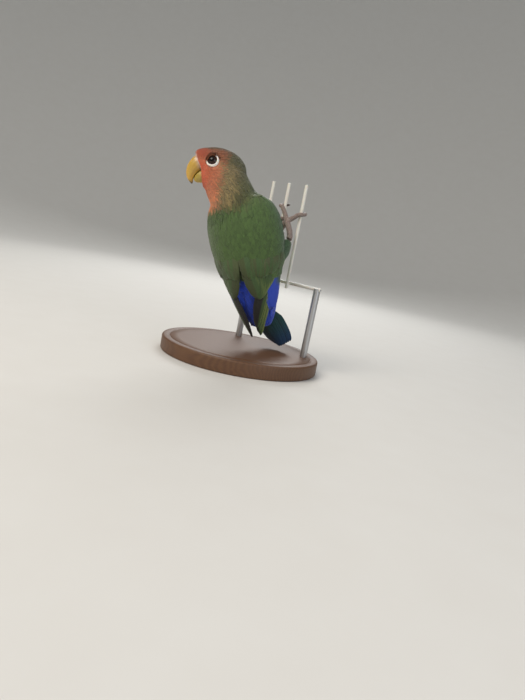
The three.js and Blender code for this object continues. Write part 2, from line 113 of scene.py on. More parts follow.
def makeCamera():
    data = bpy.data.cameras.new("photoView")
    data.sensor_width = camera["sensor"]
    data.sensor_fit = "AUTO"
    data.lens = camera["focalPixels"] / max(camera["imageSize"]) * camera["sensor"]
    data.clip_start = 0.01
    view = bpy.data.objects.new("photoView", data)
    bpy.context.scene.collection.objects.link(view)
    columns = [Vector(camera["rightward"]), -Vector(camera["downward"]), -Vector(camera["forward"])]
    turn = Matrix([[columns[c].normalized()[r] for c in range(3)] for r in range(3)])
    place = Matrix.Translation(Vector(camera["place"]) / 1000)
    view.matrix_world = place @ turn.to_4x4()
    bpy.context.scene.camera = view


makeCamera()
print("camera set")

# The bird's own frames, as the solids have them: millimetres and degrees
pose = {
    "bodyAt": (5.4, 2.4, 44.3),
    "leanBack": 20.6,
    "leanLeft": 9.2,
    "turn": 17,
    "tailBend": 18,
    "tailSwing": 11,
    "headAt": (-21.6, -32.7, 129.2),
    "headTurn": 129,
}
bodyFrame = (
    Matrix.Translation(pose["bodyAt"])
    @ Matrix.Rotation(-math.radians(pose["leanLeft"]), 4, "Y")
    @ Matrix.Rotation(math.radians(pose["leanBack"]), 4, "X")
    @ Matrix.Rotation(math.radians(pose["turn"]), 4, "Z")
)
tailFrame = (
    bodyFrame
    @ Matrix.Rotation(math.radians(pose["tailBend"]), 4, "X")
    @ Matrix.Rotation(-math.radians(pose["tailSwing"]), 4, "Y")
)
headFrame = Matrix.Translation(pose["headAt"]) @ Matrix.Rotation(math.radians(pose["headTurn"]), 4, "Z")
eyeAt = (9.5, 2.8, 0.4)

# Rings of the trunk: height, half width, depth to the back, depth to the belly
trunk = [
    (-19, 7, 4.8, 6),
    (-12, 11.2, 7.2, 9),
    (-2, 14.2, 10, 11.8),
    (10, 16.8, 13.4, 15.4),
    (24, 20, 16.6, 19.6),
    (38, 22.6, 18.6, 22.8),
    (52, 23, 19, 23.4),
    (62, 21.2, 18, 21.6),
    (70, 17.6, 15.4, 18),
    (75, 10.5, 9.4, 11),
]
# Rings of the folded wings' outer face
wingForm = [
    (-46, 6, 6, 5.5),
    (-32, 10, 8.6, 7.4),
    (-20, 13.6, 11, 9.4),
    (-8, 17, 13.2, 12),
    (4, 19.8, 16, 15),
    (16, 22.4, 18.6, 18.4),
    (28, 25.2, 21.2, 22.4),
    (40, 27.4, 22.6, 25),
    (52, 27.8, 22.8, 25.5),
    (60, 26.8, 21.8, 24.5),
    (68, 24.2, 19.6, 22.6),
    (76, 18, 15.5, 18),
]
# Edges of a wing's covert area: height, inner and outer angle from the middle of the back
wingEdges = [
    (-4, 40, 72),
    (4, 30, 84),
    (14, 16, 90),
    (26, 4.5, 97),
    (38, 3.2, 101),
    (50, 3.6, 101),
    (60, 7, 99),
    (67, 18, 92),
    (72, 34, 82),
    (74.5, 48, 70),
]


# A smooth curve through a table's rows, read at any values of its first column
def readTable(table, at):
    rows = np.asarray(table, float)
    x, v = rows[:, 0], rows[:, 1:]
    at = np.clip(np.asarray(at, float), x[0], x[-1])
    i = np.clip(np.searchsorted(x, at, side="right") - 1, 0, len(x) - 2)
    before, after = np.maximum(i - 1, 0), np.minimum(i + 2, len(x) - 1)
    span = (x[i + 1] - x[i])[..., None]
    t = (at - x[i])[..., None] / span
    slopeIn = (v[i + 1] - v[before]) / (x[i + 1] - x[before])[..., None] * span
    slopeOut = (v[after] - v[i]) / (x[after] - x[i])[..., None] * span
    return (
        (2 * t**3 - 3 * t**2 + 1) * v[i]
        + (t**3 - 2 * t**2 + t) * slopeIn
        + (3 * t**2 - 2 * t**3) * v[i + 1]
        + (t**3 - t**2) * slopeOut
    )


# Points of a body form, angle in degrees from the middle of the back, positive to the bird's right
def formPoints(table, height, angle, lift):
    width, back, belly = np.moveaxis(readTable(table, height), -1, 0)
    turn = np.radians(angle)
    depth = np.where(np.cos(turn) > 0, back, belly)
    return np.stack(
        [(width + lift) * np.sin(turn), -(depth + lift) * np.cos(turn), height + 0 * turn], -1
    )


def toWorld(matrix, points):
    m = np.array(matrix)
    return points @ m[:3, :3].T + m[:3, 3]


def toLocal(matrix, points):
    return toWorld(matrix.inverted(), points)


def smoothStep(low, high, value):
    t = np.clip((value - low) / (high - low), 0, 1)
    return t * t * (3 - 2 * t)


def unit(v):
    return v / np.maximum(np.linalg.norm(v, axis=-1, keepdims=True), 1e-9)


def giveValues(mesh, values):
    for key, value in values.items():
        mesh.attributes.new(key, "FLOAT", "POINT").data.foreach_set("value", np.asarray(value, float))


# Shells as one set of points and faces
def mergeShells(shells):
    points, faces, count = [], [], 0
    for p, f in shells:
        points.append(p)
        faces.append(f + count)
        count += len(p)
    return np.concatenate(points), np.concatenate(faces)


# A mesh object from arrays in millimetres. Faces is a list of index arrays, each with rows of one length.
def makePiece(name, points, faces, material=None, attributes=None, uv=None):
    mesh = bpy.data.meshes.new(name)
    loops = np.concatenate([f.ravel() for f in faces]).astype(np.int32)
    totals = np.concatenate([np.full(len(f), f.shape[1]) for f in faces]).astype(np.int32)
    starts = np.concatenate([[0], np.cumsum(totals)[:-1]]).astype(np.int32)
    mesh.vertices.add(len(points))
    mesh.vertices.foreach_set("co", (np.asarray(points, float) / 1000).ravel())
    mesh.loops.add(len(loops))
    mesh.loops.foreach_set("vertex_index", loops)
    mesh.polygons.add(len(totals))
    mesh.polygons.foreach_set("loop_start", starts)
    mesh.polygons.foreach_set("loop_total", totals)
    mesh.polygons.foreach_set("use_smooth", np.ones(len(totals), bool))
    mesh.update()
    giveValues(mesh, attributes or {})
    if uv is not None:
        layer = mesh.uv_layers.new(name="OFBake")
        layer.data.foreach_set("uv", np.asarray(uv, float)[loops].ravel())
    if material:
        mesh.materials.append(material)
    made = bpy.data.objects.new(name, mesh)
    bpy.context.scene.collection.objects.link(made)
    return made


def finishPiece(made, slot, *replaced):
    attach(made, "root")
    if replaced:
        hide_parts(*replaced)
    return made


# Quads of a grid of rows by columns of points, closed round the columns if asked
def gridFaces(rows, columns, closed=False):
    r, c = np.meshgrid(np.arange(rows - 1), np.arange(columns if closed else columns - 1), indexing="ij")
    here, there = r * columns, (r + 1) * columns
    beside = (c + 1) % columns
    return np.stack([here + c, here + beside, there + beside, there + c], -1).reshape(-1, 4)


def readValues(items, key, width, kind=float):
    values = np.empty(len(items) * width, kind)
    items.foreach_get(key, values)
    return values.reshape(-1, width)


def meshArrays(made):
    mesh = made.data
    mesh.calc_loop_triangles()
    triangles = readValues(mesh.loop_triangles, "vertices", 3, np.int32)
    return readValues(mesh.vertices, "co", 3) * 1000, triangles


def vertexNormals(made):
    return readValues(made.data.vertex_normals, "vector", 3)


def movePoints(made, points):
    made.data.vertices.foreach_set("co", (points / 1000).ravel())
    made.data.update()


# Evens a mesh's points towards their neighbours' middle
def relax(made, rounds, share=0.5):
    mesh = made.data
    points = readValues(mesh.vertices, "co", 3)
    a, b = readValues(mesh.edges, "vertices", 2, np.int32).T
    count = np.maximum(np.bincount(a, minlength=len(points)) + np.bincount(b, minlength=len(points)), 1)
    for _ in range(rounds):
        total = np.zeros_like(points)
        for axis in range(3):
            total[:, axis] += np.bincount(a, points[b, axis], len(points))
            total[:, axis] += np.bincount(b, points[a, axis], len(points))
        points += share * (total / count[:, None] - points)
    mesh.vertices.foreach_set("co", points.ravel())
    mesh.update()


def inflate(made, millimetres):
    points, _ = meshArrays(made)
    movePoints(made, points + vertexNormals(made) * np.asarray(millimetres)[..., None])


def remesh(made, voxel):
    step = made.modifiers.new("even", "REMESH")
    step.mode = "VOXEL"
    step.voxel_size = voxel / 1000
    graph = bpy.context.evaluated_depsgraph_get()
    fresh = bpy.data.meshes.new_from_object(made.evaluated_get(graph))
    made.modifiers.clear()
    old = made.data
    made.data = fresh
    bpy.data.meshes.remove(old)
    fresh.polygons.foreach_set("use_smooth", np.ones(len(fresh.polygons), bool))


# A finer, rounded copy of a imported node
def softened(name, nodeName, voxel, rounds, grow):
    points, triangles = meshArrays(nodes[nodeName])
    made = makePiece(name, points, [triangles])
    welded = made.modifiers.new("weld", "WELD")
    welded.merge_threshold = 1e-6
    remesh(made, voxel)
    relax(made, rounds)
    inflate(made, grow)
    return made


# Side faces and end fans of stacked closed rings, as one closed shell of triangles
def ringShell(rings):
    count, sides = rings.shape[:2]
    quads = gridFaces(count, sides, closed=True)
    ends = np.stack([rings[0].mean(0), rings[-1].mean(0)])
    points = np.concatenate([rings.reshape(-1, 3), ends])
    a, b = np.arange(sides), (np.arange(sides) + 1) % sides
    last = (count - 1) * sides
    total = count * sides
    fans = [
        np.stack([b, a, np.full(sides, total)], -1),
        np.stack([a + last, b + last, np.full(sides, total + 1)], -1),
    ]
    triangles = np.concatenate([quads[:, [0, 1, 2]], quads[:, [0, 2, 3]], *fans])
    return points, triangles


# A turned form from (radius, height) pairs, in its own frame
def turned(profile, sides):
    turn = np.arange(sides) / sides * 2 * math.pi
    profile = np.array(profile, float)
    height = np.broadcast_to(profile[:, 1:], (len(profile), sides))
    return ringShell(np.stack([profile[:, :1] * np.cos(turn), profile[:, :1] * np.sin(turn), height], -1))


def ball(rows, sides, gap):
    polar = np.linspace(gap, math.pi - gap, rows)
    return turned(np.stack([np.sin(polar), np.cos(polar)], -1), sides)


# Skin under the coat: the flesh nodes, the wings' covert areas and the back between them in one surface
skinSetup = {
    "voxel": 0.62,
    "smoothing": 16,
    "joining": 0.45,  # grown by this before joining, so that gaps between nodes close
    "coatDepth": 1.0,
    "faceDepth": 0.55,
    "wingLift": -0.3,
    "wingEdgeSink": 1.8,
    "underLift": -2.0,
    "mantleLift": -0.7,
    "mantleOverlap": 9,  # degrees past the wings' inner edges
    "mantleEndSink": (3.2, 2.6),
    "napeAt": (0, -14.2, -12.4),
    "napeSize": (9.4, 10.8, 10.4),
    "billRaise": 0.75,
    "billReach": 1.7,
    "lidSink": 0.95,
}


# A shell from just inside the trunk out to the wings' form, with its angles and lift from shape(height)
def bodyShell(heights, shape, side=1):
    rings = []
    for height in heights:
        angle, lift = shape(height)
        top = formPoints(wingForm, height, angle, lift)
        under = formPoints(trunk, height, angle[::-1], skinSetup["underLift"])
        rings.append(np.concatenate([top, under]))
    rings = np.array(rings)
    rings[..., 0] *= side
    return ringShell(rings)


def wingShape(height):
    u = np.linspace(0, 1, 18)
    inner, outer = readTable(wingEdges, height)
    sink = skinSetup["wingEdgeSink"] * np.abs(2 * u - 1) ** 5
    return inner + (outer - inner) * u, skinSetup["wingLift"] - sink


def mantleShape(height):
    reach = readTable(wingEdges, height)[0] + skinSetup["mantleOverlap"]
    high, low = skinSetup["mantleEndSink"]
    sink = high * smoothStep(62, 73, height) + low * smoothStep(34, 27, height)
    return np.linspace(-reach, reach, 14), skinSetup["mantleLift"] - sink


def tailRootShell():
    heights = np.linspace(-19, -1, 9)[:, None]
    return ringShell(formPoints(trunk, heights, np.arange(0, 360, 15) + 0 * heights, 0))


def weld(made):
    work = bmesh.new()
    work.from_mesh(made.data)
    bmesh.ops.remove_doubles(work, verts=work.verts, dist=2e-6)
    bmesh.ops.recalc_face_normals(work, faces=work.faces)
    work.to_mesh(made.data)
    work.free()


def treeOf(*nodeNames):
    points, triangles = mergeShells([meshArrays(nodes[n]) for n in nodeNames])
    return BVHTree.FromPolygons([Vector(p) for p in points], triangles.tolist())


billTree = treeOf("bill_upper", "bill_lower")


def fromBillSurface(points):
    near = toLocal(headFrame, points)[:, 1] > 3
    away = np.full(len(points), 99.0)
    for i in np.flatnonzero(near):
        away[i] = billTree.find_nearest(points[i])[3]
    return away


# Draws the forehead's edge out over the bill, and sinks the skin under the lid rings
def shapeFace(made):
    points, _ = meshArrays(made)
    head = toLocal(headFrame, points)
    out = smoothStep(7.5, 11.5, head[:, 1]) * smoothStep(-6, 0, head[:, 2])
    head[:, 1] += skinSetup["billReach"] * out
    for side in (1, -1):
        away = head - np.array(eyeAt) * (side, 1, 1)
        across = np.hypot(away[:, 1], away[:, 2])
        sink = skinSetup["lidSink"] * smoothStep(4.7, 3.7, across) * (away[:, 0] * side > 0)
        head[:, 0] -= side * sink
    movePoints(made, toWorld(headFrame, head))


def makeSkin():
    shells = [meshArrays(nodes[n]) for n in ("torso", "neck", "head", "thigh_left", "thigh_right")]
    wings = [bodyShell(np.linspace(-4, 74, 27), wingShape, side) for side in (1, -1)]
    for points, triangles in (*wings, bodyShell(np.linspace(27, 73, 20), mantleShape), tailRootShell()):
        shells.append((toWorld(bodyFrame, points), triangles))
    # A soft fill of the hollow between the back of the head and the neck
    points, triangles = ball(12, 20, 0.1)
    points = points * skinSetup["napeSize"] + skinSetup["napeAt"]
    shells.append((toWorld(headFrame, points), triangles))
    points, triangles = mergeShells(shells)
    made = makePiece("skin", points, [triangles])
    weld(made)
    inflate(made, skinSetup["joining"])
    remesh(made, skinSetup["voxel"])
    relax(made, skinSetup["smoothing"])
    points, _ = meshArrays(made)
    fromHead = np.linalg.norm(toLocal(headFrame, points), axis=1)
    depth = np.interp(fromHead, [14, 26], [skinSetup["faceDepth"], skinSetup["coatDepth"]])
    depth -= skinSetup["billRaise"] * smoothStep(5, 1.5, fromBillSurface(points))
    inflate(made, -(skinSetup["joining"] + depth - 0.2))
    relax(made, 2)
    shapeFace(made)
    return made


skin = makeSkin()
skinPoints, skinTriangles = meshArrays(skin)
skinTree = BVHTree.FromPolygons([Vector(p) for p in skinPoints], skinTriangles.tolist())
print("skin:", len(skinTriangles), "triangles")


# A piece's place on an unwrap of the skin: round the spine from tail to bill, and along it
spineLine = np.concatenate([
    toWorld(bodyFrame, np.array([(0, 0, -30), (0, 0, 0), (0, 0, 35), (0, 0, 66)], float)),
    toWorld(headFrame, np.array([(0, -12, -14), (0, -2, -5), (0, 14, -5)], float)),
])


def unwrap(points):
    best = np.full(len(points), 1e9)
    along = np.zeros(len(points))
    around = np.zeros(len(points))
    lengths = np.linalg.norm(np.diff(spineLine, axis=0), axis=1)
    reference = np.array(bodyFrame)[:3, 1]
    done = 0.0
    for start, end, length in zip(spineLine[:-1], spineLine[1:], lengths):
        axis = (end - start) / length
        t = np.clip((points - start) @ axis / length, 0, 1)
        away = points - (start + np.outer(t, end - start))
        distance = np.linalg.norm(away, axis=1)
        u = unit(reference - axis * (reference @ axis))
        v = np.cross(axis, u)
        turn = np.arctan2(away @ v, away @ u) / (2 * math.pi) + 0.5
        closer = distance < best
        best = np.where(closer, distance, best)
        along = np.where(closer, (done + t * length) / lengths.sum(), along)
        around = np.where(closer, turn, around)
        done += length
    return np.stack([0.02 + 0.96 * around, 0.02 + 0.96 * along], -1)


# Where each colour lies on the bird, in millimetres of the head's and the body's own frames: forward of the
# eye's middle or up. A pair is where a colour is gone and where it is full.
markings = {
    "face": (-5.5, 1.5),
    "ear": (-16.0, -8.0),
    "nape": (-34.0, -14.0),
    "collar": (-31.0, 0.36),  # height of the collar line ahead, and its rise for each millimetre back
    "collarFade": (-2.0, 5.0),
    "blush": (4.0, 8.5),
    "blushHeight": (1.5, -3.0),
    "blushEnd": (-32.0, -20.0),
    "throat": (-13.0, -24.0),
    "brow": (-7.0, 1.0),
    "forehead": (5.5, 11.0),
    "browHeight": (-0.5, 3.0),
    "crown": (7.4, 10.4),
    "rump": (27.0, 22.0),
    "cere": (2.6, 1.4),
}


# Middle lines of the thighs, from the body to the hock
legLines = {
    1: np.array([(12, 2, 76), (12.6, 10.6, 82), (12, 15.8, 90)], float),
    -1: np.array([(-11, 1, 70), (-12.5, 10, 76), (-12.8, 15.5, 84)], float),
}


def legShare(points):
    share = np.zeros(len(points))
    direction = np.zeros((len(points), 3))
    for line in legLines.values():
        for start, end, base in ((line[0], line[1], 0.0), (line[1], line[2], 1.0)):
            axis = end - start
            t = (points - start) @ axis / (axis @ axis)
            away = np.linalg.norm(points - (start + np.outer(np.clip(t, 0, 1), axis)), axis=1)
            weight = (away < 9.5 - 2.5 * base) * smoothStep(-0.1, 0.5, t + base)
            better = weight > share
            share = np.where(better, weight, share)
            direction[better] = unit(axis)
    return share, direction


def markingWeights(points, jitter, bare=False):
    side, forward, up = toLocal(headFrame, points).T
    body = toLocal(bodyFrame, points)
    angle = np.degrees(np.arctan2(np.abs(body[:, 0]), -body[:, 1]))
    m = markings
    forward, up = forward + jitter, up + 0.6 * jitter
    collar = up - (m["collar"][0] + m["collar"][1] * (6.5 - forward))
    aboveCollar = smoothStep(*m["collarFade"], collar)
    crown = smoothStep(*m["crown"], up + 0.12 * forward)
    face = smoothStep(*m["face"], forward - 0.22 * np.maximum(-24 - up, 0)) * aboveCollar
    blushEnd = smoothStep(*m["blushEnd"], up)
    rumpSide = 58 + 62 * smoothStep(16, 2, body[:, 2])
    legs, _ = legShare(points)
    return {
        "flank": np.maximum(smoothStep(60, 95, angle), legs),
        "belly": smoothStep(100, 140, angle) * (1 - aboveCollar) * (1 - legs),
        "nape": smoothStep(*m["nape"], forward) * aboveCollar,
        "ear": smoothStep(*m["ear"], forward) * aboveCollar * smoothStep(4, -2, up),
        "face": face,
        "throat": face * smoothStep(*m["throat"], up),
        "blush": smoothStep(*m["blush"], forward) * smoothStep(*m["blushHeight"], up) * blushEnd,
        "brow": smoothStep(*m["brow"], forward) * smoothStep(*m["browHeight"], up) * aboveCollar,
        "forehead": smoothStep(*m["forehead"], forward) * smoothStep(*m["browHeight"], up) * aboveCollar,
        "crown": crown * smoothStep(15.5, 10.5, forward) * aboveCollar,
        "rump": smoothStep(*m["rump"], body[:, 2] + jitter)
        * (1 - smoothStep(rumpSide, rumpSide + 24, angle + 4 * jitter)),
        "cere": smoothStep(*m["cere"], fromBillSurface(points)) * smoothStep(-9, -3, up) * bare,
    }


# Bowed keratin vanes of the small body feathers: matt and slightly velvety, soft sheen at grazing light
featherColours = {
    "back": "3f5826",
    "flank": "355230",
    "belly": "637d40",
    "nape": "504f29",
    "ear": "7c6c44",
    "face": "b96a45",
    "throat": "dc895c",
    "blush": "cf5e37",
    "brow": "854a26",
    "forehead": "a4441f",
    "crown": "544527",
    "rump": "2144bd",
    "cere": "e6cfc4",
}
featherPattern = {
    "barbSpacing": 0.34,  # millimetres between barbs, near the real spacing
    "smallFeather": 5.0,  # millimetres, the length that the barb count is worked out for
    "barbHeight": 0.00005,
    "barbTone": 0.035,
    # painted shade: the tone at a feather's covered root
    "rootPaintedShade": 0.74,
    # painted light: how much paler a feather's tip is
    "tipPaintedLight": 0.42,
    "toneSpread": 0.22,
}


# Slanting barbs on both sides of the shaft, from the along and across values of a vane
def barbWave(tree, read, count):
    side = addNode(tree, "Math", {0: read["across"]}, operation="ABSOLUTE")
    slant = addNode(tree, "Math", {0: side, 1: -0.32, 2: read["along"]}, operation="MULTIPLY_ADD")
    phase = addNode(tree, "Math", {0: slant, 1: count * 2 * math.pi}, operation="MULTIPLY")
    return addNode(tree, "Math", {0: phase}, operation="SINE")


def plumageMaterial():
    s = featherPattern
    marks = list(featherColours)[1:]
    material, tree, read = newMaterial(
        "contourFeatherKeratin", [*marks, "tone", "along", "across"],
        Roughness=0.72, IOR=1.54, Sheen_Weight=0.22, Sheen_Roughness=0.45,
    )
    colour = layColours(tree, featherColours["back"], [(read[key], featherColours[key]) for key in marks])
    barbs = barbWave(tree, read, s["smallFeather"] / s["barbSpacing"])
    # Each feather differs a little, has painted shade at its covered root and painted light at its tip
    tone = s["rootPaintedShade"]
    for source, share in (("along", s["tipPaintedLight"]), ("tone", s["toneSpread"])):
        tone = addNode(tree, "Math", {0: read[source], 1: share, 2: tone}, operation="MULTIPLY_ADD")
    tone = addNode(tree, "Math", {0: barbs, 1: s["barbTone"], 2: tone}, operation="MULTIPLY_ADD")
    finishSurface(tree, colour, barbs, 0.6, s["barbHeight"], tone)
    return material


plumage = plumageMaterial()


# Skin finish: the same markings under the coat, on a matt surface
def dressSkin():
    points, _ = meshArrays(skin)
    giveValues(skin.data, markingWeights(points, 0, bare=True))
    # The skin reads as 0.3 along a feather, so it takes part of the painted root shade
    plain = {"tone": -0.2, "along": 0.3, "across": 0.0}
    giveValues(skin.data, {key: np.full(len(points), value) for key, value in plain.items()})
    loops = readValues(skin.data.loops, "vertex_index", 1, np.int32)[:, 0]
    starts, totals = (
        readValues(skin.data.polygons, key, 1, np.int32)[:, 0] for key in ("loop_start", "loop_total")
    )
    uv = unwrap(points)[loops]
    face = np.repeat(np.arange(len(totals)), totals)
    high = np.maximum.reduceat(uv[:, 0], starts)
    wraps = (high[face] - uv[:, 0]) > 0.5
    uv[wraps, 0] += 0.96
    layer = skin.data.uv_layers.new(name="OFBake")
    layer.data.foreach_set("uv", uv.ravel())
    skin.data.materials.append(plumage)
    finishPiece(skin, "body_plumage", "torso", "neck", "head", "thigh_left", "thigh_right")


dressSkin()


# Small feathers: where they point, how long they are and how close they stand
coat = {
    "candidates": 260000,
    "billPoint": (0, 17, -4),
    "faceLength": (1.2, 0.105),  # at the bill, and more for each millimetre from it
    "bodyLength": 7.8,
    "covertLength": ((28, 9.0), (45, 7.0), (62, 5.4)),  # by height on the wing
    "thighLength": 4.2,
    "tailCovertLength": 11.0,
    "spacing": 0.2,  # of the length
    "cell": 1.6,  # millimetres, at least the widest spacing
    "width": (0.38, 0.6),  # of the length, on the face and on the body
    "widest": 5.2,
    "stand": (-0.15, 0.17, 0.036),  # at the root, more at the tip, and more for each millimetre of length
    "ruffle": 0.008,
    "arch": (0.30, -0.16),  # of the half width
    "patch": 0.0014,  # half the size of a feather's patch on the bake map
    "bareRing": 4.4,
    "bareBill": 0.55,
}
eyePlaces = {s: toWorld(headFrame, np.array([eyeAt]) * (s, 1, 1))[0] for s in (1, -1)}
eyeSides = {s: np.array(headFrame)[:3, 0] * s for s in (1, -1)}


def layDirection(points, normals):
    head = toLocal(headFrame, points)
    turnHead = np.array(headFrame)[:3, :3]
    fromBill = unit(head - np.array(coat["billPoint"])) @ turnHead.T
    tailward = -np.array(bodyFrame)[:3, 2]
    share = smoothStep(19, 38, np.linalg.norm(head - (0, 4, -4), axis=1))[:, None]
    direction = fromBill * (1 - share) + tailward * share
    legs, legWay = legShare(points)
    direction = direction * (1 - legs[:, None]) + legWay * legs[:, None]
    direction -= normals * np.sum(direction * normals, 1, keepdims=True)
    return unit(direction)


def featherLength(points):
    head = toLocal(headFrame, points)
    body = toLocal(bodyFrame, points)
    fromBill = np.linalg.norm(head - np.array(coat["billPoint"]), axis=1)
    length = coat["faceLength"][0] + coat["faceLength"][1] * fromBill
    share = smoothStep(24, 48, fromBill)
    radius = np.hypot(body[:, 0], body[:, 1])
    trunkSize = readTable(trunk, body[:, 2])
    onWing = (radius > trunkSize[:, :2].mean(1) + 1.6) & (np.abs(body[:, 0]) > 5)
    covertLength = np.interp(body[:, 2], *zip(*coat["covertLength"]))
    bodyLength = np.where(onWing, covertLength, coat["bodyLength"])
    bodyLength = bodyLength + (coat["tailCovertLength"] - bodyLength) * smoothStep(16, -8, body[:, 2])
    length = length * (1 - share) + bodyLength * share
    legs, _ = legShare(points)
    return length * (1 - legs) + coat["thighLength"] * legs, onWing, share


def nearest(points):
    places = np.empty_like(points)
    normals = np.empty_like(points)
    for i, p in enumerate(points):
        place, normal, _, _ = skinTree.find_nearest(p)
        places[i] = place
        normals[i] = normal
    return places, normals


def nearEye(points, reach):
    inside = np.zeros(len(points), bool)
    for s in (1, -1):
        away = points - eyePlaces[s]
        outward = away @ eyeSides[s]
        across = np.linalg.norm(away - np.outer(outward, eyeSides[s]), axis=1)
        inside |= (across < reach) & (outward > 0)
    return inside


cellsAround = list(itertools.product((-1, 0, 1), repeat=3))


def crowded(grid, key, p, limit):
    for dx, dy, dz in cellsAround:
        for q in grid.get((key[0] + dx, key[1] + dy, key[2] + dz), ()):
            if (p[0] - q[0]) ** 2 + (p[1] - q[1]) ** 2 + (p[2] - q[2]) ** 2 < limit:
                return True
    return False


# Roots spread over the skin, no two closer than their spacing
def plantRoots():
    a, b, c = (skinPoints[skinTriangles[:, k]] for k in range(3))
    cross = np.cross(b - a, c - a)
    area = np.linalg.norm(cross, axis=1)
    normal = cross / np.maximum(area, 1e-9)[:, None]
    middle = (a + b + c) / 3
    length, onWing, _ = featherLength(middle)
    hidden = onWing & (toLocal(bodyFrame, middle)[:, 2] < 27)
    tips = middle + layDirection(middle, normal) * length[:, None]
    hidden |= nearEye(middle, coat["bareRing"]) | nearEye(tips, coat["bareRing"] - 0.25)
    hidden |= fromBillSurface(middle) < coat["bareBill"]
    weight = np.where(hidden, 0, area / length**2)
    pick = rng.choice(len(weight), coat["candidates"], p=weight / weight.sum())
    r1, r2 = rng.random((2, len(pick), 1))
    swap = r1 + r2 > 1
    r1, r2 = np.where(swap, 1 - r1, r1), np.where(swap, 1 - r2, r2)
    points = a[pick] + (b[pick] - a[pick]) * r1 + (c[pick] - a[pick]) * r2
    length = length[pick]
    reach = length * coat["spacing"]
    keys = np.floor(points / coat["cell"]).astype(int)
    grid = {}
    kept = []
    for i, (key, p) in enumerate(zip(keys.tolist(), points.tolist())):
        if not crowded(grid, key, p, reach[i] ** 2):
            grid.setdefault(tuple(key), []).append(p)
            kept.append(i)
    return points[kept], normal[pick][kept], length[kept]


# Closed thin vanes: each ring runs over the arched top from edge to edge and closes underneath
featherForms = {
    "face": {"t": (0, 0.4, 0.8, 1), "width": (0.7, 1.0, 0.8, 0.14), "across": (-1, 0, 1)},
    "neck": {"t": (0, 0.3, 0.62, 0.87, 1), "width": (0.6, 0.95, 1.0, 0.7, 0.12), "across": (-1, 0, 1)},
    "body": {
        "t": (0, 0.3, 0.6, 0.82, 0.95, 1),
        "width": (0.5, 0.9, 1.0, 0.86, 0.5, 0.12),
        "across": (-1, -0.5, 0, 0.5, 1),
    },
}


def growTufts(points, normals, lengths, form):
    count = len(points)
    _, _, share = featherLength(points)
    width = lengths * (coat["width"][0] + (coat["width"][1] - coat["width"][0]) * share)
    width = np.minimum(width, coat["widest"])
    jitter = rng.normal(0, 0.09, (count, 1)) * (1 - 0.4 * share[:, None])
    t = np.array(form["t"])
    across = np.array(form["across"], float)
    spine, up = [points], [normals]
    for step in np.diff(t):
        way = layDirection(spine[-1], up[-1])
        sideways = np.cross(up[-1], way)
        way = unit(way + sideways * jitter)
        place, normal = nearest(spine[-1] + way * (lengths * step)[:, None])
        spine.append(place)
        up.append(unit(normal * 0.6 + up[-1] * 0.4))
    spine, up = np.stack(spine, 1), np.stack(up, 1)
    tangent = unit(np.gradient(spine, axis=1))
    binormal = unit(np.cross(up, tangent))
    low, high, slope = coat["stand"]
    stand = low + (slope * lengths + high)[:, None] * t**1.2
    stand += rng.normal(0, coat["ruffle"], (count, 1)) * lengths[:, None] * t
    centre = spine + up * stand[..., None]
    half = (width[:, None] * np.array(form["width"]) / 2)[..., None, None]
    arch = (1 - across**2)[:, None] * coat["arch"][0] + coat["arch"][1]
    rings = centre[:, :, None] + binormal[:, :, None] * half * across[:, None]
    rings = rings + up[:, :, None] * half * arch
    sides = len(across)
    perFeather = len(t) * sides
    quads = gridFaces(len(t), sides, closed=True)
    fan = np.array([[0, k + 1, k] for k in range(1, sides - 1)])
    last = perFeather - sides
    ends = np.concatenate([fan, fan[:, [0, 2, 1]] + last])
    shift = (np.arange(count) * perFeather)[:, None, None]
    faces = [(quads[None] + shift).reshape(-1, 4), (ends[None] + shift).reshape(-1, 3)]
    weights = markingWeights(points, rng.normal(0, 0.9, count))
    weights["tone"] = rng.uniform(-1, 1, count)
    attributes = {key: np.repeat(values, perFeather) for key, values in weights.items()}
    attributes["along"] = np.tile(np.repeat(t, sides), count)
    attributes["across"] = np.tile(across, count * len(t))
    patch = np.stack([attributes["across"], attributes["along"] * 2 - 1], -1) * coat["patch"]
    uv = np.repeat(unwrap(points), perFeather, axis=0) + patch
    return rings.reshape(-1, 3), faces, attributes, uv


def growCoat():
    points, normals, lengths = plantRoots()
    head = toLocal(headFrame, points)
    body = toLocal(bodyFrame, points)
    fromHead = np.linalg.norm(head - (0, 0, -4), axis=1)
    onHead = fromHead < 19
    left = head[:, 0] < 0
    onNeck = ~onHead & (fromHead < 34)
    back = ~onHead & ~onNeck & (body[:, 1] < 0)
    front = ~onHead & ~onNeck & ~back
    low = body[:, 2] < 24
    parts = {
        "faceCoatLeft": (onHead & left, "face", "face_plumage"),
        "faceCoatRight": (onHead & ~left, "face", "face_plumage"),
        "neckCoat": (onNeck, "neck", "neck_plumage"),
        "mantleCoat": (back & ~low, "body", "body_plumage"),
        "rumpCoat": (back & low, "body", "body_plumage"),
        "breastCoat": (front & ~low, "body", "body_plumage"),
        "bellyCoat": (front & low, "body", "body_plumage"),
    }
    for name, (chosen, form, slot) in parts.items():
        p, faces, attributes, uv = growTufts(
            points[chosen], normals[chosen], lengths[chosen], featherForms[form]
        )
        made = makePiece(name, p, faces, plumage, attributes, uv)
        finishPiece(made, slot)
        triangles = sum(len(f) * (f.shape[1] - 2) for f in faces)
        print(name, int(chosen.sum()), "feathers,", triangles, "triangles")


growCoat()


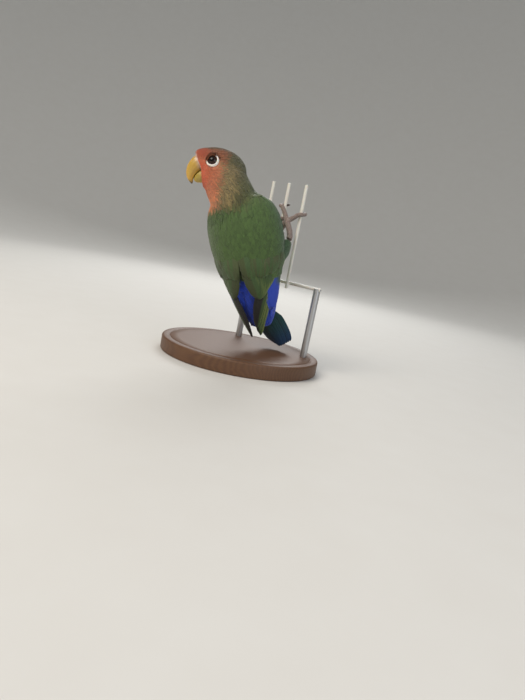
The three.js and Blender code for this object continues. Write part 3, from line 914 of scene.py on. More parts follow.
# Folded wings: rows of vanes. A row's roots and tips are given for its innermost, middle and outermost
# feather, as height, angle and lift on the wing's outer form. The last number of a size is the outermost's.
wingRows = {
    "primaries": {
        "count": 9,
        "roots": [(28, 58, -3.3), (26, 70, -3.8), (24, 80, -4.3)],
        "tips": [(-16, 5, -0.6), (-23, 10, -1.7), (-18, 18, -2.8)],
        "leftTips": [(-20, 28, -0.6), (-25, 32, -1.7), (-20, 39, -2.8)],
        "width": (9.2, 6.8), "pointed": True, "asymmetry": 0.35, "tilt": -0.05, "stagger": 0.3,
        "innerGreen": (0.0, 0.0), "edge": (0.9, 1.0), "shade": 0.85,
    },
    "secondaries": {
        "count": 11,
        "roots": [(34, 8, -2.2), (34, 44, -2.7), (34, 80, -3.2)],
        "tips": [(8.5, 20, 0.1), (6.6, 27, -0.5), (11, 34, -1.2)],
        "leftTips": [(8.0, 32, 0.1), (6.0, 42, -0.5), (10, 52, -1.2)],
        "width": (10.2, 7.6), "pointed": False, "asymmetry": 0.12, "tilt": -0.03, "stagger": 0.4,
        "innerGreen": (0.85, 0.1), "edge": (0.2, 0.6), "shade": 0.9,
    },
    "greaterCoverts": {
        "count": 14,
        "roots": [(42, 8, -3.0), (41, 50, -3.2), (40, 94, -3.4)],
        "tips": [(22, 11, 0.1), (23, 42, 0.0), (25, 80, -0.35)],
        "width": (8.4, 6.8), "pointed": False, "asymmetry": 0.05, "tilt": -0.02, "stagger": 1.1,
        "innerGreen": (1.0, 0.9), "edge": (0.0, 0.3), "shade": 1.0,
    },
}
vaneSetup = {
    "rows": 17,
    "columns": (-1, -0.78, -0.45, -0.16, -0.05, 0.05, 0.16, 0.45, 0.78, 1),
    "thickness": 0.13,
    "shaft": 0.1,
    "camber": 0.045,  # of the width
    "raggedness": 0.022,
}


def vaneOutline(t, pointed):
    root = 0.6 + 0.4 * np.sin(np.minimum(t / 0.4, 1) * math.pi / 2)
    start = 0.45 if pointed else 0.6
    left = np.clip((t - start) / (1 - start), 0, 1)
    return root * np.maximum(np.sqrt(np.clip(1 - left ** (1.7 if pointed else 2.2), 0, 1)), 0.07)


# A vane as one closed shell. place(t, offset, lift) gives its points, with t along and offset across it.
def vaneShell(place, width, pointed, asymmetry, tilt):
    rows = vaneSetup["rows"]
    t = 1 - (1 - np.linspace(0, 1, rows)) ** 1.35
    u = np.array(vaneSetup["columns"])
    ragged = 1 + rng.normal(0, vaneSetup["raggedness"], (rows, 1)) * smoothStep(0.2, 0.7, t)[:, None]
    half = width / 2 * vaneOutline(t, pointed)[:, None] * ragged
    offset = half * u * (1 - asymmetry * u)
    shaft = vaneSetup["shaft"] * np.exp(-((u / 0.08) ** 2)) * (1 - 0.75 * t[:, None])
    hollow = vaneSetup["camber"] * width * (1 - u**2) * np.ones((rows, 1)) - tilt * offset
    thin = vaneSetup["thickness"] * (1 - 0.75 * np.abs(u) ** 3) * (1 - 0.5 * t[:, None])
    along = np.broadcast_to(t[:, None], offset.shape)
    top = place(along, offset, hollow + shaft)
    under = place(along, offset, hollow - thin)[:, ::-1]
    across = np.broadcast_to(u, offset.shape)
    rings = np.concatenate([top, under], 1)
    acrossAll = np.concatenate([across, across[:, ::-1]], 1)
    alongAll = np.concatenate([along, along], 1)
    points, triangles = ringShell(rings)
    ends = lambda values, first, last: np.concatenate([values.ravel(), [first, last]])
    return points, triangles, ends(alongAll, 0, 1), ends(acrossAll, 0, 0)


def rowValue(three, u):
    first, middle, last = (np.array(v, float) for v in three)
    return first * (1 - u) * (1 - 2 * u) + middle * 4 * u * (1 - u) + last * u * (2 * u - 1)


def wingVane(side, root, tip, width, pointed, asymmetry, tilt):
    def place(t, offset, lift):
        height = root[0] + (tip[0] - root[0]) * t
        angle = root[1] + (tip[1] - root[1]) * t
        radius = readTable(wingForm, height)[..., 0]
        arc = math.radians(1) * radius
        sweep = (tip[1] - root[1]) * arc
        length = np.hypot(tip[0] - root[0], sweep)
        around = angle + offset / length * (root[0] - tip[0]) / arc
        high = height + offset * sweep / length
        level = root[2] + (tip[2] - root[2]) * smoothStep(-0.15, 0.75, t) + lift
        points = formPoints(wingForm, high, around, level)
        points[..., 0] *= side
        return points
    return vaneShell(place, width, pointed, asymmetry, tilt)


# Joins vanes into one piece, each with its own cell of the bake map
def joinVanes(name, vanes, extra, material, matrix, slot, replaced):
    columns = {"along": [], "across": []}
    uv = []
    cells = math.ceil(math.sqrt(len(vanes)))
    for i, (p, _, along, across) in enumerate(vanes):
        columns["along"].append(along)
        columns["across"].append(across)
        corner = np.array([i % cells, i // cells]) / cells
        uv.append(corner + (0.08 + 0.84 * np.stack([across / 2 + 0.5, along], -1)) / cells)
        for key, value in extra[i].items():
            columns.setdefault(key, []).append(np.full(len(p), value))
    attributes = {key: np.concatenate(values) for key, values in columns.items()}
    points, faces = mergeShells([vane[:2] for vane in vanes])
    made = makePiece(name, toWorld(matrix, points), [faces], material, attributes, np.concatenate(uv))
    return finishPiece(made, slot, *replaced)


# Flight feathers and coverts: firmer keratin than the body's, satin, with closed barbs that catch the light
flightColours = {
    "outerWeb": "3f5a2c",
    "edge": "8d9c4a",
    "innerWeb": "1a1c1a",
    "greenInner": "434f27",
    "shaftBlend": (-0.12, 0.14),  # across the vane, from the inner web's colour to the outer one's
    "rimBlend": (0.55, 0.92),
    "barbSpacing": 0.42,
    "vaneLength": 24.0,
}


def flightMaterial():
    s = flightColours
    material, tree, read = newMaterial(
        "flightFeatherKeratin", ("outer", "innerGreen", "edge", "tone", "shade", "along", "across"),
        Roughness=0.56, IOR=1.54, Sheen_Weight=0.14, Sheen_Roughness=0.4,
    )
    ramps = [
        addNode(tree, "MapRange", {0: read["outer"], 1: low, 2: high}, interpolation_type="SMOOTHSTEP")
        for low, high in (s["shaftBlend"], s["rimBlend"])
    ]
    rim = addNode(tree, "Math", {0: ramps[1], 1: read["edge"]}, operation="MULTIPLY")
    layers = [(read["innerGreen"], s["greenInner"]), (ramps[0], s["outerWeb"]), (rim, s["edge"])]
    colour = layColours(tree, s["innerWeb"], layers)
    barbs = barbWave(tree, read, s["vaneLength"] / s["barbSpacing"])
    tone = addNode(tree, "Math", {0: read["tone"], 1: 0.08, 2: read["shade"]}, operation="MULTIPLY_ADD")
    tone = addNode(tree, "Math", {0: barbs, 1: 0.05, 2: tone}, operation="MULTIPLY_ADD")
    finishSurface(tree, colour, barbs, 0.7, 0.00005, tone)
    return material


def makeWing(name, side, nodeName):
    vanes, extra = [], []
    for row, s in wingRows.items():
        tips = s["leftTips"] if side < 0 and "leftTips" in s else s["tips"]
        count = s["count"]
        for k in range(count):
            u = k / (count - 1)
            root, tip = rowValue(s["roots"], u), rowValue(tips, u)
            root = root + rng.normal(0, (0.3, 0.4, 0.0))
            tip = tip + rng.normal(0, (s["stagger"], 0.7, 0.05))
            width = s["width"][0] + (s["width"][1] - s["width"][0]) * u
            vanes.append(wingVane(side, root, tip, width, s["pointed"], s["asymmetry"], s["tilt"]))
            extra.append({
                "innerGreen": s["innerGreen"][0] + (s["innerGreen"][1] - s["innerGreen"][0]) * u,
                "edge": s["edge"][0] + (s["edge"][1] - s["edge"][0]) * u,
                "tone": rng.uniform(-1, 1),
                "shade": s["shade"],
            })
    made = joinVanes(name, vanes, extra, flightKeratin, bodyFrame, "wing_plumage", (nodeName,))
    giveValues(made.data, {"outer": np.concatenate([v[3] for v in vanes])})
    print(name, len(vanes), "vanes")


flightKeratin = flightMaterial()
makeWing("wingRight", 1, "wing_right")
makeWing("wingLeft", -1, "wing_left")


# Tail: six pairs of feathers, the middle pair on top
tailSetup = {
    "pairs": 6,
    "length": 41,
    "step": {1: 0.1, -1: 0.9},  # each next feather is shorter by this, on the right and on the left
    "middle": 0.6,
    "width": 7.8,
    "spread": (0.9, 7.7),
    "opening": 2.4,
    "levelStep": 0.55,
    "teal": "1d4a4c",
    "blue": "1f4468",
    "band": "14161a",
    "orange": "a8422b",
    "barbSpacing": 0.45,
    # Where each marking starts and is full, along the vane or across it
    "ramps": {
        "tip": ("along", 0.45, 0.95),
        "inward": ("inner", 0.1, 0.4),
        "barStart": ("along", 0.66, 0.72),
        "barEnd": ("along", 0.84, 0.78),
        "patch": ("along", 0.62, 0.5),
    },
}


def tailMaterial():
    s = tailSetup
    material, tree, read = newMaterial(
        "tailFeatherKeratin", ("along", "across", "inner", "tone"),
        Roughness=0.5, IOR=1.54, Sheen_Weight=0.12, Sheen_Roughness=0.4,
    )
    ramps = {
        key: addNode(tree, "MapRange", {0: read[source], 1: low, 2: high}, interpolation_type="SMOOTHSTEP")
        for key, (source, low, high) in s["ramps"].items()
    }
    # Orange and a dark bar lie on the inner webs, which the closed fan hides from above
    bar = addNode(tree, "Math", {0: ramps["barStart"], 1: ramps["barEnd"]}, operation="MULTIPLY")
    bar = addNode(tree, "Math", {0: bar, 1: ramps["inward"]}, operation="MULTIPLY")
    patch = addNode(tree, "Math", {0: ramps["patch"], 1: ramps["inward"]}, operation="MULTIPLY")
    layers = [(ramps["tip"], s["blue"]), (bar, s["band"]), (patch, s["orange"])]
    colour = layColours(tree, s["teal"], layers)
    barbs = barbWave(tree, read, s["length"] / s["barbSpacing"])
    tone = addNode(tree, "Math", {0: read["tone"], 1: 0.2, 2: 0.95}, operation="MULTIPLY_ADD")
    tone = addNode(tree, "Math", {0: barbs, 1: 0.05, 2: tone}, operation="MULTIPLY_ADD")
    finishSurface(tree, colour, barbs, 0.7, 0.00005, tone)
    return material


def makeTail():
    s = tailSetup
    vanes, extra, inner = [], [], []
    for k in reversed(range(s["pairs"])):
        for side in (1, -1):
            fan = side * (s["spread"][0] + (s["spread"][1] - s["spread"][0]) * k / (s["pairs"] - 1))
            length = s["length"] - s["step"][side] * k
            level = s["levelStep"] * (k + (0.4 if side < 0 else 0))

            def place(t, offset, lift):
                reach = -2 - (length - 2) * t
                x = s["middle"] + side * 0.5 + (fan - side * 0.5) * np.minimum(s["opening"] * t, 1) + offset
                y = -2.6 + level - lift + 0.010 * (x - s["middle"]) ** 2
                return np.stack([x, y, reach], -1)

            vanes.append(vaneShell(place, s["width"], False, 0.15 * side, 0.0))
            extra.append({"tone": rng.uniform(-1, 1)})
            inner.append(-side * vanes[-1][3] * (k > 0))
    made = joinVanes("tailFan", vanes, extra, tailMaterial(), tailFrame, "tail_plumage", ("tail",))
    giveValues(made.data, {"inner": np.concatenate(inner)})
    print("tail", len(vanes), "vanes")


makeTail()


# Eyes: a clear, wet, almost black-brown globe under a corneal bulge, in a ring of bare white skin
eyeSetup = {
    "radius": 4.15,
    "bulge": 0.25,
    "iris": "2a160d",
    "irisRim": "120a07",
    "pupil": "050505",
    "ringInner": 3.2,
    "ringOuter": 4.4,
    "ringRise": 0.42,
    "ringColour": "efe9e0",
    "lidColour": "7d6a62",
    "beads": 46,
    "stops": ((0.36, "pupil"), (0.42, "iris"), (0.66, "iris"), (0.78, "irisRim")),
}


def eyeMaterial():
    material, tree, read = newMaterial("wetCorneaOverIris", ["polar"], Roughness=0.13, IOR=1.376)
    colour = addNode(tree, "ValToRGB", {"Fac": read["polar"]})
    stops = colour.node.color_ramp.elements
    stops[0].position, stops[0].color = 0.0, linear(eyeSetup["pupil"])
    stops[1].position, stops[1].color = 1.0, linear(eyeSetup["irisRim"])
    for position, key in eyeSetup["stops"]:
        stops.new(position).color = linear(eyeSetup[key])
    tree.links.new(colour, tree.nodes["Principled BSDF"].inputs["Base Color"])
    return material


def ringMaterial():
    s = eyeSetup
    material, tree, read = newMaterial(
        "bareEyelidSkin", ["rim"], Roughness=0.48, IOR=1.44,
        Subsurface_Weight=0.25, Subsurface_Scale=0.0008, Subsurface_Radius=(1.0, 0.4, 0.25),
    )
    colour = layColours(tree, s["ringColour"], [(read["rim"], s["lidColour"])])
    place = addNode(tree, "TexCoord", {}, "Object")
    # Fine wrinkles of the lid skin, about a quarter of a millimetre apart
    wrinkles = addNode(tree, "TexNoise", {"Vector": place, "Scale": 2600.0, "Detail": 4.0})
    finishSurface(tree, colour, wrinkles, 0.5, 0.00006)
    return material


# The eye looks out along the skin's own direction there
def eyeFrame(side):
    start = eyePlaces[side] + eyeSides[side] * 3.4
    near = np.linalg.norm(skinPoints - start, axis=1) < 6.5
    normals = vertexNormals(skin)[near]
    out = unit(normals.sum(0) + eyeSides[side] * near.sum() * 0.35)
    across = unit(np.cross([0, 0, 1.0], out))
    up = np.cross(out, across)
    m = Matrix.Identity(4)
    for r in range(3):
        m[r][0], m[r][1], m[r][2], m[r][3] = across[r], up[r], out[r], eyePlaces[side][r]
    return m


def skinHeight(frameOf, x, y):
    origin = toWorld(frameOf, np.array([[x, y, 9.0]]))[0]
    down = -np.array(frameOf)[:3, 2]
    place, _, _, _ = skinTree.ray_cast(Vector(origin), Vector(down), 12)
    return 3.0 if place is None else toLocal(frameOf, np.array([place]))[0][2]


def makeEye(name, side, material, skinMaterial):
    s = eyeSetup
    frameOf = eyeFrame(side)
    rows, columns = 40, 56
    polar = np.linspace(0.0, 1.0, rows) ** 1.15 * math.radians(150)
    cornea = s["bulge"] * np.exp(-((polar / math.radians(34)) ** 2))
    profile = (s["radius"] + cornea)[:, None] * np.stack([np.sin(polar), np.cos(polar)], -1)
    profile[0, 0] = profile[1, 0] * 0.05
    points, triangles = turned(profile, columns)
    values = np.concatenate([np.repeat(np.sin(np.minimum(polar, math.pi / 2)), columns), [0.0, 1.0]])
    eye = makePiece(name, toWorld(frameOf, points), [triangles[:, ::-1]], material, {"polar": values})
    finishPiece(eye, "eye", "eye_left" if side < 0 else "eye_right")
    # Lid ring: a low roll of bare skin from the globe to the feathers, with a row of small beads
    around = np.arange(138) / 138 * 2 * math.pi
    t = np.linspace(0, 1, 11)
    reach = s["ringInner"] + (s["ringOuter"] - s["ringInner"]) * t
    squint = 1 - 0.05 * np.abs(np.sin(around))[:, None]
    x = reach * np.cos(around)[:, None]
    y = reach * np.sin(around)[:, None] * squint
    globe = math.sqrt(s["radius"] ** 2 - s["ringInner"] ** 2) + 0.12
    outer = np.array([skinHeight(frameOf, x[k, -1], y[k, -1]) for k in range(len(around))])
    for _ in range(6):
        outer = (np.roll(outer, 1) + outer + np.roll(outer, -1)) / 3
    bead = 1 + 0.16 * np.cos(around * s["beads"])[:, None] * np.sin(math.pi * t) ** 2
    roll = s["ringRise"] * np.sin(math.pi * t) ** 0.8 * bead
    height = globe * (1 - t) + (outer[:, None] + 0.3) * t + roll
    height[:, -1] -= 0.3
    top = np.stack([x, y, height], -1)
    deep = globe * (1 - t) + outer[:, None] * t - 0.9
    under = np.stack([x * 0.99, y * 0.99, deep], -1)[:, ::-1]
    torus = np.concatenate([top, under], 1)
    sides = torus.shape[1]
    quads = gridFaces(len(around), sides, closed=True)
    last = (len(around) - 1) * sides
    c = np.arange(sides)
    closing = np.stack([last + c, last + (c + 1) % sides, (c + 1) % sides, c], -1)
    rim = np.concatenate([1 - smoothStep(0.02, 0.2, t), np.ones(len(t))])
    lid = makePiece(
        name + "Lid", toWorld(frameOf, torus.reshape(-1, 3)), [np.concatenate([quads, closing])[:, ::-1]],
        skinMaterial, {"rim": np.tile(rim, len(around))},
    )
    finishPiece(lid, "foot_skin")


eyeGloss, lidSkin = eyeMaterial(), ringMaterial()
makeEye("eyeRight", 1, eyeGloss, lidSkin)
makeEye("eyeLeft", -1, eyeGloss, lidSkin)
print("eyes made")


# Bill: layered horn, ochre to greenish, yellower at its front and dark at the tip, with painted shade along
# the gape line
billSetup = {
    "voxel": 0.22,
    "rounds": 9,
    "grow": 0.10,
    "horn": "b9953f",
    "ridge": "d9a93f",
    "base": "c7a988",
    "tip": "4a3a26",
    "under": "8f8a3c",
    # painted shade along the gape line, where the two halves meet
    "gapeShade": "241c14",
    "growthLines": 0.5,  # millimetres between growth lines
}


def hornMaterial():
    s = billSetup
    material, tree, read = newMaterial(
        "polishedBillHorn", ("ridge", "base", "tip", "under", "gapeShade", "reach"),
        Roughness=0.34, IOR=1.54, Coat_Weight=0.15,
        Subsurface_Weight=0.12, Subsurface_Scale=0.0009, Subsurface_Radius=(1.0, 0.6, 0.3),
    )
    # The gape line's layer is painted shade, where the two halves meet
    layers = [(read[key], s[key]) for key in ("ridge", "base", "tip", "under", "gapeShade")]
    colour = layColours(tree, s["horn"], layers)
    place = addNode(tree, "TexCoord", {}, "Object")
    streak = addNode(tree, "TexNoise", {"Vector": place, "Scale": 420.0, "Detail": 5.0})
    tone = addNode(tree, "Math", {0: streak, 1: 0.36, 2: 0.82}, operation="MULTIPLY_ADD")
    phase = addNode(tree, "Math", {0: read["reach"], 1: 2 * math.pi}, operation="MULTIPLY")
    lines = addNode(tree, "Math", {0: phase}, operation="SINE")
    relief = addNode(tree, "Math", {0: streak, 1: 1.4, 2: lines}, operation="MULTIPLY_ADD")
    finishSurface(tree, colour, relief, 0.35, 0.00003, tone)
    return material


# Painted shade darkens the gape line, where this half of the bill comes close to the other
def makeBill(name, nodeName, other, material):
    made = softened(name, nodeName, billSetup["voxel"], billSetup["rounds"], billSetup["grow"])
    made.data.materials.append(material)
    points, _ = meshArrays(made)
    head = toLocal(headFrame, points)
    otherTree = treeOf(other)
    gap = np.array([otherTree.find_nearest(p)[3] for p in points])
    reach = np.hypot(head[:, 1] - 6, head[:, 2] + 4)
    slope = head[:, 1] - 0.62 * head[:, 2] - 14.2
    values = {
        "tip": smoothStep(-11.5, -15.2, head[:, 2]) if nodeName == "bill_upper" else np.zeros(len(head)),
        "base": smoothStep(2.6, -1.2, slope) * smoothStep(-9, -3, head[:, 2]),
        "ridge": smoothStep(3.4, 0.6, np.abs(head[:, 0])) * 0.8,
        "reach": reach / billSetup["growthLines"],
        "under": np.full(len(head), 0.55 if nodeName == "bill_lower" else 0.0),
        # painted shade where the other half is close
        "gapeShade": smoothStep(0.62, 0.34, gap) * 0.9,
    }
    giveValues(made.data, values)
    finishPiece(made, "bill_horn", nodeName)


billHorn = hornMaterial()
makeBill("upperBill", "bill_upper", "bill_lower", billHorn)
makeBill("lowerBill", "bill_lower", "bill_upper", billHorn)
print("bill made")


# Feet: grey-pink scaled skin, with cross scutes on the toes
footSetup = {
    "voxel": 0.27,
    "rounds": 7,
    "grow": 0.16,
    "skin": "9b8d86",
    "crease": "6d5c55",
    "scute": 0.9,  # millimetres between scutes
}


def footMaterial():
    s = footSetup
    material, tree, read = newMaterial(
        "scutedFootSkin", ["reach"],
        Roughness=0.58, IOR=1.45, Subsurface_Weight=0.1, Subsurface_Scale=0.0006,
    )
    place = addNode(tree, "TexCoord", {}, "Object")
    # Small plates between the scutes
    plates = {"Vector": place, "Scale": 1000 / s["scute"]}
    edges = addNode(tree, "TexVoronoi", plates, "Distance", feature="DISTANCE_TO_EDGE")
    crease = addNode(tree, "MapRange", {0: edges, 1: 0.0, 2: 0.18}, interpolation_type="SMOOTHSTEP")
    # Cross scutes along the toes
    phase = addNode(tree, "Math", {0: read["reach"], 1: 2 * math.pi / s["scute"]}, operation="MULTIPLY")
    wave = addNode(tree, "Math", {0: phase}, operation="SINE")
    bands = addNode(tree, "MapRange", {0: wave, 1: -1.0, 2: -0.45}, interpolation_type="SMOOTHSTEP")
    bands = addNode(tree, "Math", {0: bands, 1: 0.7, 2: 0.3}, operation="MULTIPLY_ADD")
    crease = addNode(tree, "Math", {0: crease, 1: bands}, operation="MULTIPLY")
    colour = layColours(tree, s["crease"], [(crease, s["skin"])])
    finishSurface(tree, colour, crease, 0.8, 0.00012)
    return material


# Claws: dark horn, glossy, with paler streaks
clawSetup = {"voxel": 0.13, "rounds": 5, "grow": 0.06, "horn": "3a322d", "root": "6a5c52"}


def clawMaterial():
    s = clawSetup
    material, tree, _ = newMaterial("clawHorn", Roughness=0.3, IOR=1.54)
    place = addNode(tree, "TexCoord", {}, "Object")
    streak = addNode(tree, "TexNoise", {"Vector": place, "Scale": 900.0, "Detail": 3.0})
    colour = layColours(tree, s["horn"], [(streak, s["root"])])
    finishSurface(tree, colour, streak, 0.3, 0.00004)
    return material


footSkin, clawHorn = footMaterial(), clawMaterial()
for side in ("left", "right"):
    nodeName, s = "foot_" + side, footSetup
    foot = softened("foot" + side.title(), nodeName, s["voxel"], s["rounds"], s["grow"])
    foot.data.materials.append(footSkin)
    points, _ = meshArrays(foot)
    giveValues(foot.data, {"reach": np.linalg.norm(points - points.mean(0), axis=1)})
    finishPiece(foot, "foot_skin", nodeName)
    for k in (1, 2, 3, 4):
        nodeName, s = f"claw_{side}_{k}", clawSetup
        claw = softened(f"claw{side.title()}{k}", nodeName, s["voxel"], s["rounds"], s["grow"])
        claw.data.materials.append(clawHorn)
        finishPiece(claw, "claw_horn", nodeName)
print("feet made")


# Perch wires: steel wire in white plastic coating, cut ends with the steel showing
wireSetup = {
    "radius": 1.2,
    "core": 0.8,
    "sides": 48,
    "fillet": (1.02, 0.918, 1.02),
    "coating": "e6e4dc",
    "dust": "d3cfc2",
    "steel": "b9babb",
}


def coatingMaterial():
    s = wireSetup
    material, tree, _ = newMaterial(
        "dippedWhitePlasticCoating",
        Roughness=0.32, IOR=1.5, Subsurface_Weight=0.08, Subsurface_Scale=0.0008,
    )
    place = addNode(tree, "TexCoord", {}, "Object")
    # Runs and small swellings that a dipped coating keeps, about 3 mm long
    runs = addNode(tree, "TexNoise", {"Vector": place, "Scale": 300.0, "Detail": 3.0})
    dust = addNode(tree, "TexNoise", {"Vector": place, "Scale": 60.0, "Detail": 6.0})
    share = addNode(tree, "Math", {0: dust, 1: 0.5, 2: 0.2}, operation="MULTIPLY_ADD")
    colour = layColours(tree, s["coating"], [(share, s["dust"])])
    finishSurface(tree, colour, runs, 0.25, 0.0001)
    return material


def steelMaterial():
    material, tree, _ = newMaterial("brushedSteel", Metallic=1.0, Base_Color=linear(wireSetup["steel"]))
    place = addNode(tree, "TexCoord", {}, "Object")
    stretch = addNode(tree, "Mapping", {"Vector": place, "Scale": (1.0, 1.0, 18.0)})
    # Brush marks round the rod, drawn about four times as coarse as a 240 grit leaves them
    grain = addNode(tree, "TexNoise", {"Vector": stretch, "Scale": 320.0, "Detail": 6.0})
    rough = addNode(tree, "Math", {0: grain, 1: 0.22, 2: 0.24}, operation="MULTIPLY_ADD")
    bump = addNode(tree, "Bump", {"Height": grain, "Strength": 0.35, "Distance": 0.00002})
    shader = tree.nodes["Principled BSDF"]
    tree.links.new(rough, shader.inputs["Roughness"])
    tree.links.new(bump, shader.inputs["Normal"])
    return material


def wireProfile(length):
    r, c = wireSetup["radius"], wireSetup["core"]
    core = [(c * 0.5, 0.0), (c * 0.95, 0.0), (c, 0.03), (c, 0.14)]
    end = core + [(r - 0.22, 0.10), (r - 0.06, 0.16), (r, 0.34)]
    steps = np.linspace(0.6, length - 0.6, 24)
    body = [(r, z) for z in steps]
    return end + body + [(radius, length - z) for radius, z in reversed(end)]


def makeWire(name, nodeName, low, high, axis, materials):
    points, triangles = turned(wireProfile(high[axis] - low[axis]), wireSetup["sides"])
    middle = (low + high) / 2
    if axis == 0:
        points = points[:, [2, 0, 1]]
    points[:, [k for k in range(3) if k != axis]] += middle[[k for k in range(3) if k != axis]]
    points[:, axis] += low[axis]
    made = makePiece(name, points, [triangles], materials[0])
    made.data.materials.append(materials[1])
    centre = points[triangles].mean(1)
    others = [k for k in range(3) if k != axis]
    away = np.linalg.norm(centre[:, others] - middle[others], axis=1)
    made.data.polygons.foreach_set("material_index", (away < wireSetup["core"] * 1.02).astype(np.int32))
    made.data.update()
    finishPiece(made, "coated_wire", nodeName)


def boxOf(nodeName):
    low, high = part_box(nodeName)
    return np.array(low) * 1000, np.array(high) * 1000


coating, steel = coatingMaterial(), steelMaterial()
for k in (1, 2, 3):
    makeWire(f"perchWire{k}", f"perch_wire_{k}", *boxOf(f"perch_wire_{k}"), 2, (coating, steel))
makeWire("crossWire", "perch_crosswire", *boxOf("perch_crosswire"), 0, (coating, steel))


# Small fillets of coating where each wire meets the crosswire
def makeFillets():
    blob, triangles = ball(9, 20, 0.12)
    cross = sum(boxOf("perch_crosswire")) / 2
    shells = []
    for k in (1, 2, 3):
        wire = sum(boxOf(f"perch_wire_{k}")) / 2
        centre = (wire[0], (wire[1] + cross[1]) / 2, cross[2])
        shells.append((blob * wireSetup["fillet"] + centre, triangles))
    points, triangles = mergeShells(shells)
    made = makePiece("wireFillets", points, [triangles], coating)
    finishPiece(made, "coated_wire")


makeFillets()
print("perch made")


# Stand: two steel rods with a saddle for the crosswire, in a turned and oiled wooden base
standSetup = {
    "rodVoxel": 0.2,
    "rodRounds": 3,
    "rodGrow": 0.03,
    "edge": 1.3,
    "groove": 0.35,
    "wood": "6b4a2f",
    "darkGrain": "4a3020",
    "ringSpacing": 2.2,  # millimetres between growth rings
}


def makeRod(name, nodeName):
    s = standSetup
    made = softened(name, nodeName, s["rodVoxel"], s["rodRounds"], s["rodGrow"])
    made.data.materials.append(steel)
    finishPiece(made, "stand_steel", nodeName)


def woodMaterial():
    s = standSetup
    material, tree, _ = newMaterial("oiledWalnut", Roughness=0.52, IOR=1.5)
    place = addNode(tree, "TexCoord", {}, "Object")
    # Long grain along X: rings 2.2 mm apart, pulled out along the board and bent by a slow noise
    stretch = addNode(tree, "Mapping", {"Vector": place, "Scale": (0.10, 1.0, 1.0)})
    bend = addNode(tree, "TexNoise", {"Vector": stretch, "Scale": 38.0, "Detail": 3.0})
    across = addNode(tree, "SeparateXYZ", {0: stretch}, "Y")
    run = addNode(tree, "Math", {0: bend, 1: 0.02, 2: across}, operation="MULTIPLY_ADD")
    turns = 2 * math.pi * 1000 / s["ringSpacing"]
    phase = addNode(tree, "Math", {0: run, 1: turns}, operation="MULTIPLY")
    wave = addNode(tree, "Math", {0: phase}, operation="SINE")
    rings = addNode(tree, "Math", {0: wave, 1: 0.5, 2: 0.5}, operation="MULTIPLY_ADD")
    faded = addNode(tree, "Math", {0: rings, 1: bend}, operation="MULTIPLY")
    faded = addNode(tree, "Math", {0: faded, 1: 0.6}, operation="MULTIPLY")
    pores = addNode(tree, "Mapping", {"Vector": place, "Scale": (0.05, 1.0, 1.0)})
    fine = addNode(tree, "TexNoise", {"Vector": pores, "Scale": 1500.0, "Detail": 4.0})
    share = addNode(tree, "Math", {0: fine, 1: 0.6, 2: faded}, operation="MULTIPLY_ADD")
    colour = layColours(tree, s["wood"], [(share, s["darkGrain"])])
    finishSurface(tree, colour, fine, 0.3, 0.00006)
    return material


def makeBase():
    low, high = boxOf("stand_base")
    radius, height = (high[0] - low[0]) / 2, high[2]
    e, g = standSetup["edge"], standSetup["groove"]
    bevel = [
        (radius - e * (1 - math.sin(a)), height - e * (1 - math.cos(a)))
        for a in np.radians(np.linspace(90, 0, 7))
    ]
    foot = [
        (radius - e * (1 - math.sin(a)), e * (1 - math.cos(a)))
        for a in np.radians(np.linspace(0, 90, 5))
    ]
    groove = [
        (radius - 5.0, height), (radius - 5.25, height - g * 0.7), (radius - 5.5, height - g),
        (radius - 5.75, height - g * 0.7), (radius - 6.0, height),
    ]
    profile = [(2.0, 0.0), (radius - e - 6, 0.0)] + foot + bevel + [(radius - e - 1, height)] + groove
    profile += [(radius - 12, height), (radius * 0.5, height), (2.0, height)]
    points, triangles = turned(profile, 128)
    made = makePiece("standBase", points, [triangles], woodMaterial())
    finishPiece(made, "stand_wood", "stand_base")


makeRod("rodLeft", "stand_rod_left")
makeRod("rodRight", "stand_rod_right")
makeBase()
print("stand made")


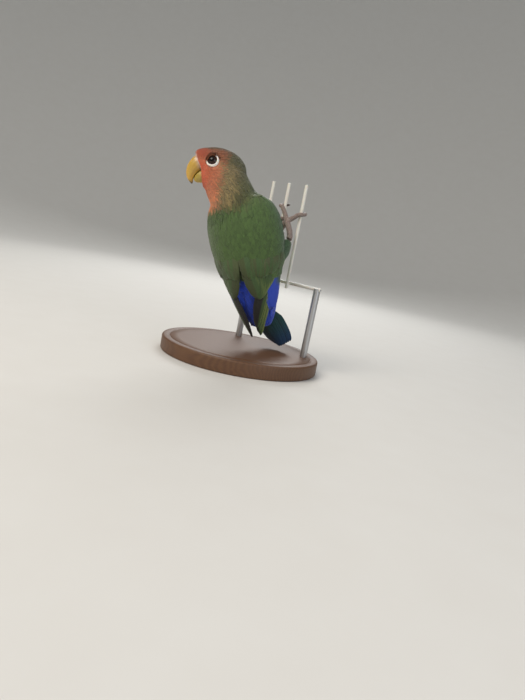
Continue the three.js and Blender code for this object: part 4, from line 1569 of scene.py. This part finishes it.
# Floor: a pale seamless sheet, flat under the stand and curved up far behind it
studio = {
    "floor": "d6d5d1",
    "fibre": "d2d0cb",
    "flat": 0.9,
    "bowl": 2.6,
    "rise": 2.2,
    "world": "d4d7da",
    "worldStrength": 0.55,
    "key": {"place": (-0.1, -0.8, 0.8), "size": 0.7, "watts": 8.5, "tint": "fff6ea"},
    "fill": {"place": (0.9, -0.2, 0.4), "size": 0.8, "watts": 2.6, "tint": "eef3ff"},
    "rim": {"place": (-0.45, 0.6, 0.6), "size": 0.5, "watts": 4.0, "tint": "ffffff"},
}


def makeFloor():
    s = studio
    radii = np.concatenate([np.linspace(0.02, s["flat"], 12), np.linspace(s["flat"], s["bowl"], 24)[1:]])
    height = s["rise"] * ((np.maximum(radii - s["flat"], 0)) / (s["bowl"] - s["flat"])) ** 2.2
    turn = np.arange(96) / 96 * 2 * math.pi
    ring = np.stack(
        [radii[:, None] * np.cos(turn), radii[:, None] * np.sin(turn), height[:, None] * np.ones(96)], -1
    )
    quads = gridFaces(len(radii), 96, closed=True)
    a = np.arange(96)
    fan = np.stack([np.full(96, len(radii) * 96), a, (a + 1) % 96], -1)
    material, tree, _ = newMaterial("matPaperBackdrop", Roughness=0.9, IOR=1.45)
    place = addNode(tree, "TexCoord", {}, "Object")
    fibre = addNode(tree, "TexNoise", {"Vector": place, "Scale": 40.0, "Detail": 6.0})
    colour = layColours(tree, s["floor"], [(fibre, s["fibre"])])
    tree.links.new(colour, tree.nodes["Principled BSDF"].inputs["Base Color"])
    points = np.concatenate([ring.reshape(-1, 3), np.zeros((1, 3))]) * 1000
    floor = makePiece("floor", points, [quads[:, ::-1], fan], material)


def addLight(name, aim=(0, 0, 0.08)):
    s = studio[name]
    data = bpy.data.lights.new(name, "AREA")
    data.shape = "DISK"
    data.size = s["size"]
    data.energy = s["watts"]
    data.color = linear(s["tint"])[:3]
    light = bpy.data.objects.new(name, data)
    bpy.context.scene.collection.objects.link(light)
    light.location = s["place"]
    light.rotation_euler = (Vector(aim) - Vector(s["place"])).to_track_quat("-Z", "Y").to_euler()


makeFloor()
for name in ("key", "fill", "rim"):
    addLight(name)
world = bpy.data.worlds.new("studioWorld")
bpy.context.scene.world = world
world.use_nodes = True
background = world.node_tree.nodes["Background"]
background.inputs["Color"].default_value = linear(studio["world"])
background.inputs["Strength"].default_value = studio["worldStrength"]
bpy.context.scene.view_settings.view_transform = "Standard"
print("studio set")
